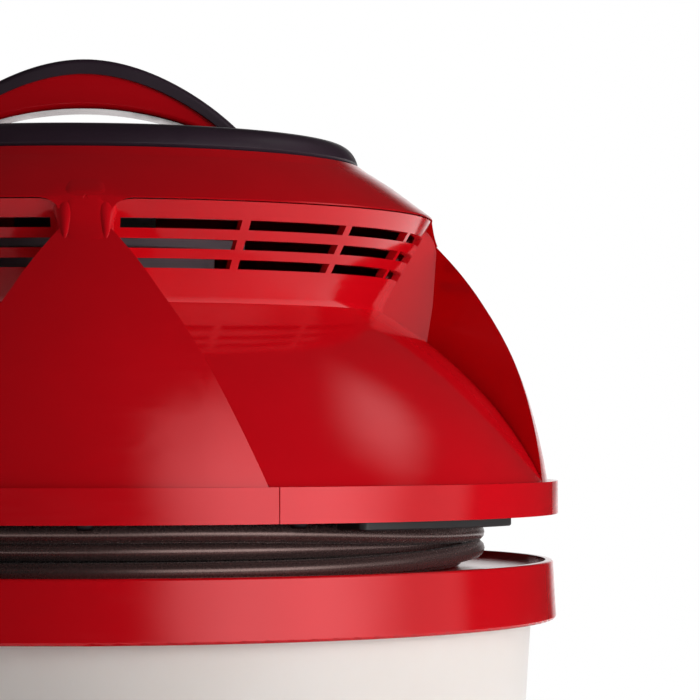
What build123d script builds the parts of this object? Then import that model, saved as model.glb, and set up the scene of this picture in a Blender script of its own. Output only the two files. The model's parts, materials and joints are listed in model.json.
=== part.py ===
from build123d import *
from math import atan2, cos, degrees, pi, radians, sin, sqrt, tan
import os

os.makedirs("parts", exist_ok=True)

# Shop vacuum: a tapered round tank on four twin-wheel casters, closed by a motor head whose red
# dome has two louvred exhaust recesses, a cord winding groove, a cap plate and an arched handle.
# Millimetres, +Z up, the floor at Z = 0, the axis of the tank on Z, the hose socket facing -Y.
# Azimuths are degrees round Z, from the front (-Y) towards +X.

# ---------------------------------------------------------------- shared clearances
SEAM = 0.4              # gap along a visible seam between two mouldings
RUNNING = 0.05          # radial clearance of a shaft or pin in its bore
SLIP = 0.5              # radial gap of a moulding that locates inside another

# ---------------------------------------------------------------- casters
CASTER_COUNT = 4
CASTER_CIRCLE = 140.0   # radius of the swivel axes round the tank axis
WHEEL_R = 18.0
WHEEL_WIDTH = 8.0
WHEEL_GAP = 0.6         # between the web of the fork and a wheel
WEB_THICK = 5.0
CASTER_TRAIL = 14.5     # swivel axis to axle
AXLE_R = 3.0
STEM_R = 4.0
STEM_LENGTH = 9.6
CROWN_R = 9.0
CROWN_THICK = 2.6
WHEEL_HEADROOM = 0.4    # under the crown of the fork

CROWN_Z = 2 * WHEEL_R + WHEEL_HEADROOM
BOSS_Z = CROWN_Z + CROWN_THICK + SEAM

# ---------------------------------------------------------------- wheel base
BASE_PLATE_THICK = 6.0
BASE_RIM_WALL = 3.8
BASE_RIM_HEIGHT = 14.0
CASTER_BOSS_R = 9.0
CASTER_BOSS_HEIGHT = 10.6
BASE_Z = BOSS_Z + CASTER_BOSS_HEIGHT - BASE_PLATE_THICK

# ---------------------------------------------------------------- tank
TANK_WALL = 3.5
TANK_FLOOR = 4.0
TANK_FLOOR_Z = BASE_Z + BASE_PLATE_THICK
TANK_MOUTH_R = 190.2    # outside of the wall where it meets the rim
TANK_TAPER = 3.54       # degrees of draft on each side
TANK_HEIGHT = 179.0
TANK_HEEL_R = 8.0       # rounding between wall and floor
RIM_THICK = 3.5
RIM_R = 195.1
RIM_Z = TANK_FLOOR_Z + TANK_HEIGHT
DRAFT = tan(radians(TANK_TAPER))
TANK_FOOT_R = TANK_MOUTH_R - TANK_HEIGHT * DRAFT


def tank_radius(z):
    """Outside radius of the tank wall at a height."""
    return TANK_MOUTH_R - (RIM_Z - z) * DRAFT


# ---------------------------------------------------------------- hose socket in the tank front
HOSE_BORE = 38.0
SOCKET_WALL = 4.0
SOCKET_LENGTH = 45.0
SOCKET_FACE_Y = -200.0
SOCKET_FLANGE_R = 36.0
SOCKET_FLANGE_THICK = 8.0
SOCKET_HEIGHT = 150.0   # centre line above the floor
SOCKET_BOSS_R = 38.5
SOCKET_SCREW_CIRCLE = 30.5
SEAL_THICK = 1.5
SEAL_INNER = 24.0
SEAL_OUTER = 27.5

# ---------------------------------------------------------------- base ring of the head
GASKET_THICK = 4.0
GASKET_INNER = 187.5
GASKET_OUTER = 194.5
RING_WALL = 3.0
RING_FOOT_R = 200.0
RING_TOP_R = RIM_R + SLIP + RING_WALL
RING_FOOT_DROP = 18.5   # skirt below the underside of the deck
DECK_THICK = 3.0
DECK_OPENING_R = 100.0
LIP_WIDTH = 3.1
LIP_HEIGHT = 3.0
SPIGOT_R = 184.0        # rib that centres the head in the mouth of the tank
SPIGOT_DROP = 11.0
DECK_UNDER_Z = RIM_Z + GASKET_THICK
DECK_Z = DECK_UNDER_Z + DECK_THICK
RING_FOOT_Z = DECK_UNDER_Z - RING_FOOT_DROP

# ---------------------------------------------------------------- cord winding groove
NECK_R = 146.5
NECK_WALL = 3.0
GROOVE_HEIGHT = 22.5
COVER_DISC_THICK = 3.0
BAND_R = 200.8          # red band at the foot of the dome
BAND_HEIGHT = 12.0
SKIN = 3.0              # wall of the dome and its covers
GROOVE_TOP_Z = DECK_Z + GROOVE_HEIGHT
DISC_TOP_Z = GROOVE_TOP_Z + COVER_DISC_THICK
BAND_TOP_Z = GROOVE_TOP_Z + BAND_HEIGHT
BAY_START = 166.0       # azimuths of the cord bay set into the neck at the rear
BAY_END = 208.0
BAY_R = 125.0
TAB_SPAN = 29.0         # azimuth span of a cord retaining tab
TAB_INNER_R = 177.0
TAB_OUTER_R = 195.0
TAB_THICK = 3.4

# ---------------------------------------------------------------- dome
DOME_FOOT_R = 196.3
DOME_TOP_R = 116.0
PLATE_SEAT_R = 115.5
PLATE_SEAT_INNER = 98.0
PLATE_SEAT_RISE = 142.0     # cap plate seat above the top of the groove
DOME_TOP_RISE = 144.9
PLATE_SEAT_Z = GROOVE_TOP_Z + PLATE_SEAT_RISE
DOME_TOP_Z = GROOVE_TOP_Z + DOME_TOP_RISE

# ---------------------------------------------------------------- exhaust recesses
VENT_AZIMUTH = 47.0
RECESS_FOOT_HALF = 88.3
RECESS_MID_HALF = 97.3
RECESS_TOP_HALF = 103.0
RECESS_CORNER_R = 11.0
RECESS_MID_RISE = 45.5      # heights above the top of the groove
RECESS_STRAIGHT_RISE = 85.5
RECESS_TOP_RISE = 118.5
RECESS_TOP_Z = GROOVE_TOP_Z + RECESS_TOP_RISE
RECESS_REACH = 260.0
PILLAR_HALF = 8.0           # half the width of the pillar between the two recesses, behind its face
GRILLE_TOP_R = 144.3
GRILLE_FOOT_R = 127.0
GRILLE_FOOT_RISE = 84.5
GRILLE_FILLET = 4.5
BONNET_TOP_R = 126.5
BONNET_TOP_RISE = 82.0
BONNET_MID_R = 169.0
BONNET_MID_RISE = 48.5
WALL_DEPTH = 6.0            # recess walls reach this far behind the cover
SLOT_ROWS = 3
SLOT_COLUMNS = 4
SLOT_HEIGHT = 3.5
SLOT_PITCH = 7.15
SLOT_TOP_RISE = 112.5
SLOT_COLUMN_PITCH = 21.2    # degrees
SLOT_RIB = 3.4              # upright rib between columns
VISOR_TIP_R = 144.6
VISOR_ROOT_R = 120.0
VISOR_HALF = 105.5
VISOR_CORNER_R = 9.0
VISOR_EAR_DROP = 11.0

# ---------------------------------------------------------------- cap plate, handle, switch
PLATE_R = 115.0
PLATE_FLAT_R = 97.0
PLATE_THICK = 3.0
PLATE_EDGE_RISE = 2.5
PLATE_RISE = 14.5           # top of the plate above its seat
PLATE_TOP_Z = PLATE_SEAT_Z + PLATE_RISE
WELL_HALF_LENGTH = 58.0
WELL_HALF_WIDTH = 32.0
WELL_CORNER = 12.0
WELL_DEPTH = 22.0
WELL_WALL = 2.5
WELL_DRAFT = 14.0
HANDLE_RISE = 34.9          # outside of the arch above the plate
HANDLE_FOOT_HALF = 69.6
GRIP_THICK = 6.3
GRIP_WIDTH = 34.0
CORE_WIDTH = 31.0
CORE_GAP = 14.2             # clear height under the middle of the arch
CORE_GAP_HALF = 60.0
HANDLE_SCREW_X = 65.2
HANDLE_SCREW_Y = 9.0
HANDLE_SCREW_R = 1.5
HANDLE_SCREW_BITE = 2.2
SWITCH_Y = -66.0
BEZEL_LENGTH = 34.0
BEZEL_WIDTH = 26.0
BEZEL_RIM = 3.0
BEZEL_THICK = 1.2
BEZEL_DEPTH = 13.0
BEZEL_WALL = 1.6
ROCKER_GAP = 0.7
ROCKER_PIVOT_R = 1.5
ROCKER_PIVOT_DROP = 5.0
ROCKER_TILT = 8.0

# ---------------------------------------------------------------- motor, fan and filter
MOTOR_DECK_R = 118.0
MOTOR_DECK_THICK = 3.0
INLET_R = 22.0
FAN_HOUSING_R = 72.0
FAN_HOUSING_HEIGHT = 36.0
HOUSING_WALL = 2.0
HOUSING_FOOT_R = 80.0
CASING_R = 55.0
CASING_WALL = 2.5
CASING_HEIGHT = 93.0
TOP_MOUNT_R = 68.0
TOP_MOUNT_THICK = 5.0
SHAFT_R = 4.0
BEARING_THICK = 7.0
LOWER_BEARING_R = 11.0
UPPER_BEARING_R = 8.0
BEARING_WALL = 3.0
IMPELLER_R = 60.0
IMPELLER_BLADES = 9
IMPELLER_HEIGHT = 14.0
IMPELLER_FLOAT = 9.0        # above the motor deck
STATOR_INNER = 34.0
ARMATURE_R = 32.5
ARMATURE_HEIGHT = 48.0
ARMATURE_RISE = 17.0        # above the top of the fan housing
COMMUTATOR_R = 14.0
CUSHION_OUTER = 30.0
CUSHION_INNER = 22.0
CAGE_R = 62.0
CAGE_WALL = 2.0
CAGE_HEIGHT = 81.0
PLEAT_INNER = 66.0
PLEAT_OUTER = 88.0
PLEAT_COUNT = 40
PLEAT_SKIN = 2.2
FILTER_CAP_R = 90.0
FILTER_TOP_CAP = 7.0
FILTER_END_CAP = 4.0
STUD_R = 4.0
STUD_LENGTH = 13.0
NUT_HEIGHT = 8.0
NUT_R = 13.0

# ---------------------------------------------------------------- cord and plug
CORD_D = 7.5
COIL_INNER = 146.8
COIL_OUTER = 171.6
COIL_HEIGHT = 22.1
COIL_LIFT = 0.2
GLAND_R = 6.2
GLAND_TIP_R = 4.6
GLAND_LENGTH = 24.0
GLAND_CIRCLE = 136.0        # radius at which the cord leaves the bay wall
GLAND_RISE = 6.6            # above the deck of the ring
PLUG_WIDTH = 20.0
PLUG_HEIGHT = 12.6
PLUG_LENGTH = 30.0
PLUG_RELIEF = 18.0
PLUG_CIRCLE = 184.5
PLUG_AZIMUTH = 176.0
BLADE_LENGTH = 17.0
BLADE_SPACING = 12.7
BLADE_WIDTH = 6.4
BLADE_THICK = 1.6

# ---------------------------------------------------------------- latches
LATCH_AZIMUTH = 120.0
LATCH_RELEASE = 15.0        # degrees that the clips stand open
LATCH_WIDTH = 22.0
LATCH_PIN_R = 2.0
LATCH_PIN_CIRCLE = 204.0
LATCH_BARREL_R = 4.0
LATCH_EAR_THICK = 3.0
LATCH_PLATE_THICK = 3.0
LATCH_PIN_DROP = 7.0        # pin axis below the deck of the ring
KEEPER_R = 196.0
KEEPER_HEIGHT = 4.0
KEEPER_TOP_DROP = 22.0      # below the rim of the tank
HOOK_TIP_R = 191.0
HOOK_THICK = 3.2

# ---------------------------------------------------------------- fasteners
SCREW_R = 2.0
SCREW_HEAD_R = 3.6
SCREW_HEAD_THICK = 2.4
BOSS_R = 5.0
HOOD_BOSS_CIRCLE = 180.0
HOOD_BOSS_AZIMUTHS = (0.0, 100.0, 180.0, 260.0)
COVER_BOSS_CIRCLE = 178.0
COVER_BOSS_OFFSET = 20.0
SPOOL_SCREW_CIRCLE = 134.0
SPOOL_SCREW_AZIMUTHS = (45.0, 135.0, 225.0, 315.0)
BASE_SCREW_CIRCLE = 95.0


def polar(radius, azimuth, z=0.0):
    """Point at a radius and an azimuth from the front (-Y) towards +X."""
    return (radius * sin(radians(azimuth)), -radius * cos(radians(azimuth)), z)


def radial_plane(azimuth, z=0.0, radius=0.0):
    """Plane that faces outward at an azimuth: local X is along the rim, local Y is up."""
    outward = polar(1, azimuth)
    return Plane(origin=polar(radius, azimuth, z), x_dir=(-outward[1], outward[0], 0), z_dir=outward)


def profile_plane(azimuth, offset=0.0):
    """Plane through the axis at an azimuth: local X is the radius and local Y is up."""
    outward = polar(1, azimuth)
    across = (outward[1], -outward[0], 0)
    origin = (across[0] * offset, across[1] * offset, 0)
    return Plane(origin=origin, x_dir=outward, z_dir=across)


def finish(builder, label):
    """Labels a finished piece and writes it under its own name."""
    builder.part.label = label
    export_step(builder.part, f"parts/{label}.step")


# ================================================================ casters
AXLE_LENGTH = WEB_THICK + 2 * (WHEEL_GAP + WHEEL_WIDTH) + 1.2
WHEEL_FACE = WEB_THICK / 2 + WHEEL_GAP


def caster_plane(azimuth):
    """Plane of a caster's web: origin under the swivel axis, local X trails outward."""
    return Plane(origin=polar(CASTER_CIRCLE, azimuth), x_dir=polar(1, azimuth),
                 z_dir=(polar(1, azimuth)[1], -polar(1, azimuth)[0], 0))


for index in range(CASTER_COUNT):
    caster_azimuth = 45.0 + index * 360.0 / CASTER_COUNT
    web_plane = caster_plane(caster_azimuth)
    swivel = polar(CASTER_CIRCLE, caster_azimuth)

    with BuildPart() as caster_fork:
        with BuildSketch(web_plane):
            with Locations((CASTER_TRAIL, WHEEL_R)):
                Circle(AXLE_R + 3)
            with Locations((0, CROWN_Z - 2)):
                Rectangle(2 * STEM_R + 4, 4)
            make_hull()
            with Locations((CASTER_TRAIL, WHEEL_R)):
                Circle(AXLE_R + RUNNING, mode=Mode.SUBTRACT)
        extrude(amount=WEB_THICK / 2, both=True)
        with BuildSketch(Plane.XY.offset(CROWN_Z)):
            with Locations(swivel[:2]):
                Circle(CROWN_R)
        extrude(amount=CROWN_THICK)
        with BuildSketch(Plane.XY.offset(CROWN_Z + CROWN_THICK)):
            with Locations(swivel[:2]):
                Circle(STEM_R)
        extrude(amount=STEM_LENGTH)
        chamfer(caster_fork.faces().sort_by(Axis.Z)[-1].edges(), 0.8)
    finish(caster_fork, f"caster_fork_{index + 1}")

    with BuildPart() as caster_wheels:
        for side in (1, -1):
            with BuildSketch(web_plane.offset(side * WHEEL_FACE)):
                with Locations((CASTER_TRAIL, WHEEL_R)):
                    Circle(WHEEL_R)
                    Circle(AXLE_R, mode=Mode.SUBTRACT)
            extrude(amount=side * WHEEL_WIDTH)
            with BuildSketch(web_plane.offset(side * (WHEEL_FACE + WHEEL_WIDTH))):
                with Locations((CASTER_TRAIL, WHEEL_R)):
                    Circle(WHEEL_R - 4)
                    Circle(AXLE_R + 3, mode=Mode.SUBTRACT)
            extrude(amount=-side * 2, mode=Mode.SUBTRACT)
        fillet(caster_wheels.edges().filter_by(GeomType.CIRCLE)
               .filter_by(lambda edge: edge.radius > WHEEL_R - 1), 1.6)
    finish(caster_wheels, f"caster_wheels_{index + 1}")

    with BuildPart() as caster_axle:
        with BuildSketch(web_plane):
            with Locations((CASTER_TRAIL, WHEEL_R)):
                Circle(AXLE_R)
        extrude(amount=AXLE_LENGTH / 2, both=True)
    finish(caster_axle, f"caster_axle_{index + 1}")

# ================================================================ wheel base
BASE_RIM_INNER = tank_radius(BASE_Z + BASE_RIM_HEIGHT) + SEAM
BASE_RIM_OUTER = BASE_RIM_INNER + BASE_RIM_WALL
CASTER_SITES = [polar(CASTER_CIRCLE, 45.0 + k * 360.0 / CASTER_COUNT)[:2] for k in range(CASTER_COUNT)]
BASE_SCREW_SITES = [polar(BASE_SCREW_CIRCLE, k * 90.0)[:2] for k in range(4)]

with BuildPart() as wheel_base:
    with BuildSketch(Plane.XZ):
        with BuildLine():
            Polyline((0, BASE_Z), (BASE_RIM_OUTER - 6, BASE_Z), (BASE_RIM_OUTER, BASE_Z + 6),
                     (BASE_RIM_OUTER, BASE_Z + BASE_RIM_HEIGHT), (BASE_RIM_INNER, BASE_Z + BASE_RIM_HEIGHT),
                     (BASE_RIM_INNER, TANK_FLOOR_Z), (0, TANK_FLOOR_Z), close=True)
        make_face()
    revolve(axis=Axis.Z)
    with BuildSketch(Plane.XY.offset(BOSS_Z)):
        with Locations(*CASTER_SITES):
            Circle(CASTER_BOSS_R)
    extrude(until=Until.NEXT)
    with BuildSketch(Plane.XY.offset(BASE_Z)):
        with PolarLocations(0, CASTER_COUNT, start_angle=45):
            Rectangle(2 * CASTER_CIRCLE, 3)
        Circle(60)
        Circle(57, mode=Mode.SUBTRACT)
    extrude(amount=-4)
    with BuildSketch(Plane.XY.offset(BOSS_Z)):
        with Locations(*CASTER_SITES):
            Circle(STEM_R + RUNNING)
    extrude(amount=STEM_LENGTH + SEAM, mode=Mode.SUBTRACT)
    with BuildSketch(Plane.XY.offset(BASE_Z)):
        with Locations(*BASE_SCREW_SITES):
            Circle(SCREW_R)
    extrude(amount=BASE_PLATE_THICK, mode=Mode.SUBTRACT)
finish(wheel_base, "wheel_base")

with BuildPart() as base_screws:
    with BuildSketch(Plane.XY.offset(BASE_Z)):
        with Locations(*BASE_SCREW_SITES):
            Circle(SCREW_R)
    extrude(amount=BASE_PLATE_THICK + TANK_FLOOR - 1)
    with BuildSketch(Plane.XY.offset(BASE_Z)):
        with Locations(*BASE_SCREW_SITES):
            Circle(SCREW_HEAD_R)
    extrude(amount=-SCREW_HEAD_THICK)
finish(base_screws, "base_screws")

# ================================================================ tank
SOCKET_TUBE_R = HOSE_BORE / 2 + SOCKET_WALL
BOSS_FACE_Y = SOCKET_FACE_Y + SOCKET_FLANGE_THICK
SOCKET_SCREW_AZIMUTHS = (30.0, 150.0, 270.0)
SOCKET_SCREW_SITES = [(SOCKET_SCREW_CIRCLE * cos(radians(a)), SOCKET_SCREW_CIRCLE * sin(radians(a)))
                      for a in SOCKET_SCREW_AZIMUTHS]
SOCKET_PLANE = Plane(origin=(0, BOSS_FACE_Y, SOCKET_HEIGHT), x_dir=(1, 0, 0), z_dir=(0, -1, 0))
KEEPER_TOP_Z = RIM_Z - KEEPER_TOP_DROP

with BuildPart() as tank:
    with BuildSketch(Plane.XZ):
        with BuildLine():
            Polyline((0, TANK_FLOOR_Z), (TANK_FOOT_R, TANK_FLOOR_Z), (TANK_MOUTH_R, RIM_Z), (0, RIM_Z),
                     close=True)
        make_face()
    revolve(axis=Axis.Z)
    fillet(tank.faces().sort_by(Axis.Z)[0].edges(), TANK_HEEL_R)
    with BuildSketch(SOCKET_PLANE):
        Circle(SOCKET_BOSS_R)
    extrude(amount=-30, taper=-4)
    for side in (1, -1):
        with BuildSketch(radial_plane(side * LATCH_AZIMUTH, KEEPER_TOP_Z - KEEPER_HEIGHT / 2, SPIGOT_R)):
            Rectangle(LATCH_WIDTH, KEEPER_HEIGHT)
        extrude(amount=KEEPER_R - SPIGOT_R)
    with BuildSketch(Plane.XY.offset(RIM_Z)):
        Circle(RIM_R)
    extrude(amount=-RIM_THICK)
    with BuildSketch(Plane.XZ):
        with BuildLine():
            Polyline((0, TANK_FLOOR_Z + TANK_FLOOR),
                     (TANK_FOOT_R + TANK_FLOOR * DRAFT - TANK_WALL - TANK_HEEL_R / 2, TANK_FLOOR_Z + TANK_FLOOR),
                     (tank_radius(TANK_FLOOR_Z + 2 * TANK_FLOOR) - TANK_WALL, TANK_FLOOR_Z + 2 * TANK_FLOOR),
                     (TANK_MOUTH_R - TANK_WALL, RIM_Z), (0, RIM_Z), close=True)
        make_face()
    revolve(axis=Axis.Z, mode=Mode.SUBTRACT)
    with BuildSketch(SOCKET_PLANE):
        Circle(SOCKET_TUBE_R + SEAM)
    extrude(amount=-40, mode=Mode.SUBTRACT)
    with BuildSketch(SOCKET_PLANE):
        Circle(SEAL_OUTER)
        Circle(SEAL_INNER, mode=Mode.SUBTRACT)
    extrude(amount=-SEAL_THICK, mode=Mode.SUBTRACT)
    with BuildSketch(SOCKET_PLANE):
        with Locations(*SOCKET_SCREW_SITES):
            Circle(SCREW_R)
    extrude(amount=-6, mode=Mode.SUBTRACT)
    with BuildSketch(Plane.XY.offset(TANK_FLOOR_Z)):
        with Locations(*BASE_SCREW_SITES):
            Circle(SCREW_R)
    extrude(amount=TANK_FLOOR - 1, mode=Mode.SUBTRACT)
finish(tank, "tank")

with BuildPart() as tank_gasket:
    with BuildSketch(Plane.XY.offset(RIM_Z)):
        Circle(GASKET_OUTER)
        Circle(GASKET_INNER, mode=Mode.SUBTRACT)
    extrude(amount=GASKET_THICK)
finish(tank_gasket, "tank_gasket")

with BuildPart() as hose_socket:
    with BuildSketch(SOCKET_PLANE):
        Circle(SOCKET_FLANGE_R)
    extrude(amount=SOCKET_FLANGE_THICK)
    fillet(hose_socket.faces().sort_by(Axis.Y)[0].edges(), 3)
    with BuildSketch(SOCKET_PLANE):
        Circle(SOCKET_TUBE_R)
    extrude(amount=-(SOCKET_LENGTH - SOCKET_FLANGE_THICK))
    with BuildSketch(SOCKET_PLANE.offset(SOCKET_FLANGE_THICK)):
        Circle(HOSE_BORE / 2)
    extrude(amount=-SOCKET_LENGTH, mode=Mode.SUBTRACT)
    with BuildSketch(SOCKET_PLANE):
        with Locations(*SOCKET_SCREW_SITES):
            Circle(SCREW_R)
    extrude(amount=SOCKET_FLANGE_THICK, mode=Mode.SUBTRACT)
    with BuildSketch(SOCKET_PLANE.offset(SOCKET_FLANGE_THICK)):
        with Locations(*SOCKET_SCREW_SITES):
            Circle(SCREW_HEAD_R + 0.3)
    extrude(amount=-SCREW_HEAD_THICK, mode=Mode.SUBTRACT)
finish(hose_socket, "hose_socket")

with BuildPart() as socket_seal:
    with BuildSketch(SOCKET_PLANE):
        Circle(SEAL_OUTER)
        Circle(SEAL_INNER, mode=Mode.SUBTRACT)
    extrude(amount=-SEAL_THICK)
finish(socket_seal, "socket_seal")

with BuildPart() as socket_screws:
    with BuildSketch(SOCKET_PLANE.offset(SOCKET_FLANGE_THICK - SCREW_HEAD_THICK)):
        with Locations(*SOCKET_SCREW_SITES):
            Circle(SCREW_HEAD_R)
    extrude(amount=SCREW_HEAD_THICK)
    with BuildSketch(SOCKET_PLANE.offset(SOCKET_FLANGE_THICK - SCREW_HEAD_THICK)):
        with Locations(*SOCKET_SCREW_SITES):
            Circle(SCREW_R)
    extrude(amount=-(SOCKET_FLANGE_THICK - SCREW_HEAD_THICK + 6))
finish(socket_screws, "socket_screws")

# ================================================================ base ring of the head
SPOOL_SCREW_SITES = [polar(SPOOL_SCREW_CIRCLE, a)[:2] for a in SPOOL_SCREW_AZIMUTHS]
LATCH_PIN_Z = DECK_Z - LATCH_PIN_DROP
EAR_OFFSET = LATCH_WIDTH / 2 + LATCH_EAR_THICK / 2 + SEAM

with BuildPart() as base_ring:
    with BuildSketch(Plane.XZ):
        with BuildLine():
            Polyline((RING_FOOT_R - RING_WALL, RING_FOOT_Z), (RING_FOOT_R, RING_FOOT_Z),
                     (RING_TOP_R, DECK_Z + LIP_HEIGHT), (RING_TOP_R - LIP_WIDTH, DECK_Z + LIP_HEIGHT),
                     (RING_TOP_R - LIP_WIDTH, DECK_Z), (DECK_OPENING_R, DECK_Z),
                     (DECK_OPENING_R, DECK_UNDER_Z), (RING_TOP_R - RING_WALL, DECK_UNDER_Z), close=True)
        make_face()
    revolve(axis=Axis.Z)
    fillet(base_ring.edges().filter_by(GeomType.CIRCLE)
           .filter_by(lambda edge: edge.radius > RING_TOP_R - 0.1), 1.2)
    with BuildSketch(Plane.XY.offset(DECK_UNDER_Z)):
        Circle(SPIGOT_R)
        Circle(SPIGOT_R - RING_WALL, mode=Mode.SUBTRACT)
    extrude(amount=-SPIGOT_DROP)
    for side in (1, -1):
        for offset_t in (EAR_OFFSET, -EAR_OFFSET):
            with BuildSketch(profile_plane(side * LATCH_AZIMUTH, offset_t)):
                with Locations((LATCH_PIN_CIRCLE, LATCH_PIN_Z)):
                    Circle(LATCH_PIN_R + 1.8)
                with Locations((RING_TOP_R + 0.5, LATCH_PIN_Z)):
                    Rectangle(1.2, 2 * LATCH_PIN_R + 6)
                make_hull()
            extrude(amount=LATCH_EAR_THICK / 2, both=True)
        with BuildSketch(profile_plane(side * LATCH_AZIMUTH)):
            with Locations((LATCH_PIN_CIRCLE, LATCH_PIN_Z)):
                Circle(LATCH_PIN_R)
        extrude(amount=EAR_OFFSET + LATCH_EAR_THICK, both=True, mode=Mode.SUBTRACT)
    with BuildSketch(Plane.XY.offset(DECK_UNDER_Z)):
        with Locations(*SPOOL_SCREW_SITES):
            Circle(SCREW_R)
    extrude(amount=DECK_THICK, mode=Mode.SUBTRACT)
finish(base_ring, "base_ring")

# ---------------------------------------------------------------- latches on the ring
HOOK_TOP = KEEPER_TOP_Z - KEEPER_HEIGHT - SEAM - LATCH_PIN_Z
LEVER_FACE = RING_FOOT_R + 1.0 - LATCH_PIN_CIRCLE
HOOK_TIP = HOOK_TIP_R - LATCH_PIN_CIRCLE


def lever_plane(azimuth):
    """Section plane of a latch lever with its origin on the pin, turned out to the released position."""
    outward = polar(1, azimuth)
    turn = radians(LATCH_RELEASE)
    return Plane(origin=polar(LATCH_PIN_CIRCLE, azimuth, LATCH_PIN_Z),
                 x_dir=(outward[0] * cos(turn), outward[1] * cos(turn), sin(turn)),
                 z_dir=(outward[1], -outward[0], 0))


for side, hand in ((1, "right"), (-1, "left")):
    with BuildPart() as latch_lever:
        with BuildSketch(lever_plane(side * LATCH_AZIMUTH)):
            Circle(LATCH_BARREL_R - 1)
            with BuildLine():
                Polyline((LEVER_FACE, 0), (LEVER_FACE, HOOK_TOP), (HOOK_TIP, HOOK_TOP),
                         (HOOK_TIP + 1, HOOK_TOP - HOOK_THICK), (LEVER_FACE + 2, HOOK_TOP - HOOK_THICK - 3),
                         (LEVER_FACE + LATCH_PLATE_THICK + 1.4, HOOK_TOP - HOOK_THICK - 6),
                         (LEVER_FACE + LATCH_PLATE_THICK, 0), close=True)
            make_face()
        extrude(amount=LATCH_WIDTH / 2, both=True)
        with BuildSketch(lever_plane(side * LATCH_AZIMUTH)):
            Circle(LATCH_PIN_R + RUNNING)
        extrude(amount=LATCH_WIDTH, both=True, mode=Mode.SUBTRACT)
    finish(latch_lever, f"latch_{hand}")

with BuildPart() as latch_pins:
    for side in (1, -1):
        with BuildSketch(profile_plane(side * LATCH_AZIMUTH)):
            with Locations((LATCH_PIN_CIRCLE, LATCH_PIN_Z)):
                Circle(LATCH_PIN_R)
        extrude(amount=EAR_OFFSET + LATCH_EAR_THICK / 2, both=True)
finish(latch_pins, "latch_pins")

# ================================================================ winding spool
HOOD_BOSS_SITES = [polar(HOOD_BOSS_CIRCLE, a)[:2] for a in HOOD_BOSS_AZIMUTHS]
COVER_BOSS_AZIMUTHS = [side * (VENT_AZIMUTH + end * COVER_BOSS_OFFSET) for side in (1, -1) for end in (1, -1)]
COVER_BOSS_SITES = [polar(COVER_BOSS_CIRCLE, a)[:2] for a in COVER_BOSS_AZIMUTHS]
BAND_INNER_R = BAND_R - SKIN


def annular_sector(inner, outer, start, end):
    """Face between two radii and two azimuths, for the open sketch."""
    middle = (start + end) / 2
    with BuildLine() as sector:
        near = ThreePointArc(polar(inner, start)[:2], polar(inner, middle)[:2], polar(inner, end)[:2])
        far = ThreePointArc(polar(outer, start)[:2], polar(outer, middle)[:2], polar(outer, end)[:2])
        Line(near @ 0, far @ 0)
        Line(near @ 1, far @ 1)
    make_face(sector.edges())


def bay_sector(grow):
    """Outline of the cord bay, grown by a wall."""
    with BuildSketch(mode=Mode.PRIVATE) as bay:
        annular_sector(BAY_R, NECK_R + 20, BAY_START, BAY_END)
        if grow:
            offset(amount=grow, kind=Kind.INTERSECTION)
    return bay.sketch


with BuildPart() as winding_spool:
    with BuildSketch(Plane.XY.offset(DECK_Z)) as neck_outline:
        Circle(NECK_R)
        add(bay_sector(0), mode=Mode.SUBTRACT)
    extrude(amount=GROOVE_HEIGHT)
    with BuildSketch(Plane.XY.offset(DECK_Z)):
        Circle(NECK_R - NECK_WALL)
        add(bay_sector(NECK_WALL), mode=Mode.SUBTRACT)
    extrude(amount=GROOVE_HEIGHT + COVER_DISC_THICK, mode=Mode.SUBTRACT)
    with BuildSketch(Plane.XY.offset(GROOVE_TOP_Z)):
        Circle(BAND_INNER_R - SLIP)
        Circle(NECK_R - NECK_WALL, mode=Mode.SUBTRACT)
        with BuildSketch(mode=Mode.PRIVATE) as bay_roof:
            annular_sector(BAY_R - NECK_WALL, NECK_R, BAY_START - 1, BAY_END + 1)
        add(bay_roof.sketch)
    extrude(amount=COVER_DISC_THICK)
    with BuildSketch(Plane.XY.offset(DECK_Z)):
        with Locations(*SPOOL_SCREW_SITES):
            Circle(2.4 * BOSS_R)
        Circle(NECK_R - NECK_WALL, mode=Mode.INTERSECT)
        Circle(MOTOR_DECK_R + SLIP, mode=Mode.SUBTRACT)
        add(bay_sector(NECK_WALL), mode=Mode.SUBTRACT)
    extrude(amount=DECK_THICK)
    with BuildSketch(Plane.XY.offset(DECK_Z)):
        with Locations(*SPOOL_SCREW_SITES):
            Circle(SCREW_R)
    extrude(amount=DECK_THICK, mode=Mode.SUBTRACT)
    with BuildSketch(Plane.XY.offset(GROOVE_TOP_Z)):
        with Locations(*HOOD_BOSS_SITES, *COVER_BOSS_SITES):
            Circle(SCREW_R)
    extrude(amount=COVER_DISC_THICK, mode=Mode.SUBTRACT)
finish(winding_spool, "winding_spool")

with BuildPart() as spool_screws:
    with BuildSketch(Plane.XY.offset(DECK_UNDER_Z)):
        with Locations(*SPOOL_SCREW_SITES):
            Circle(SCREW_HEAD_R)
    extrude(amount=-SCREW_HEAD_THICK)
    with BuildSketch(Plane.XY.offset(DECK_UNDER_Z)):
        with Locations(*SPOOL_SCREW_SITES):
            Circle(SCREW_R)
    extrude(amount=2 * DECK_THICK)
finish(spool_screws, "spool_screws")

with BuildPart() as cord_retainers:
    for side in (1, -1):
        with BuildSketch(Plane.XY.offset(GROOVE_TOP_Z)):
            annular_sector(TAB_INNER_R, TAB_OUTER_R, side * VENT_AZIMUTH - TAB_SPAN / 2,
                           side * VENT_AZIMUTH + TAB_SPAN / 2)
        extrude(amount=-TAB_THICK)
    fillet(cord_retainers.edges().filter_by(Axis.Z), 3)
    chamfer(cord_retainers.faces().filter_by(Axis.Z).group_by(Axis.Z)[0].edges(), 0.6)
finish(cord_retainers, "cord_retainers")

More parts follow.
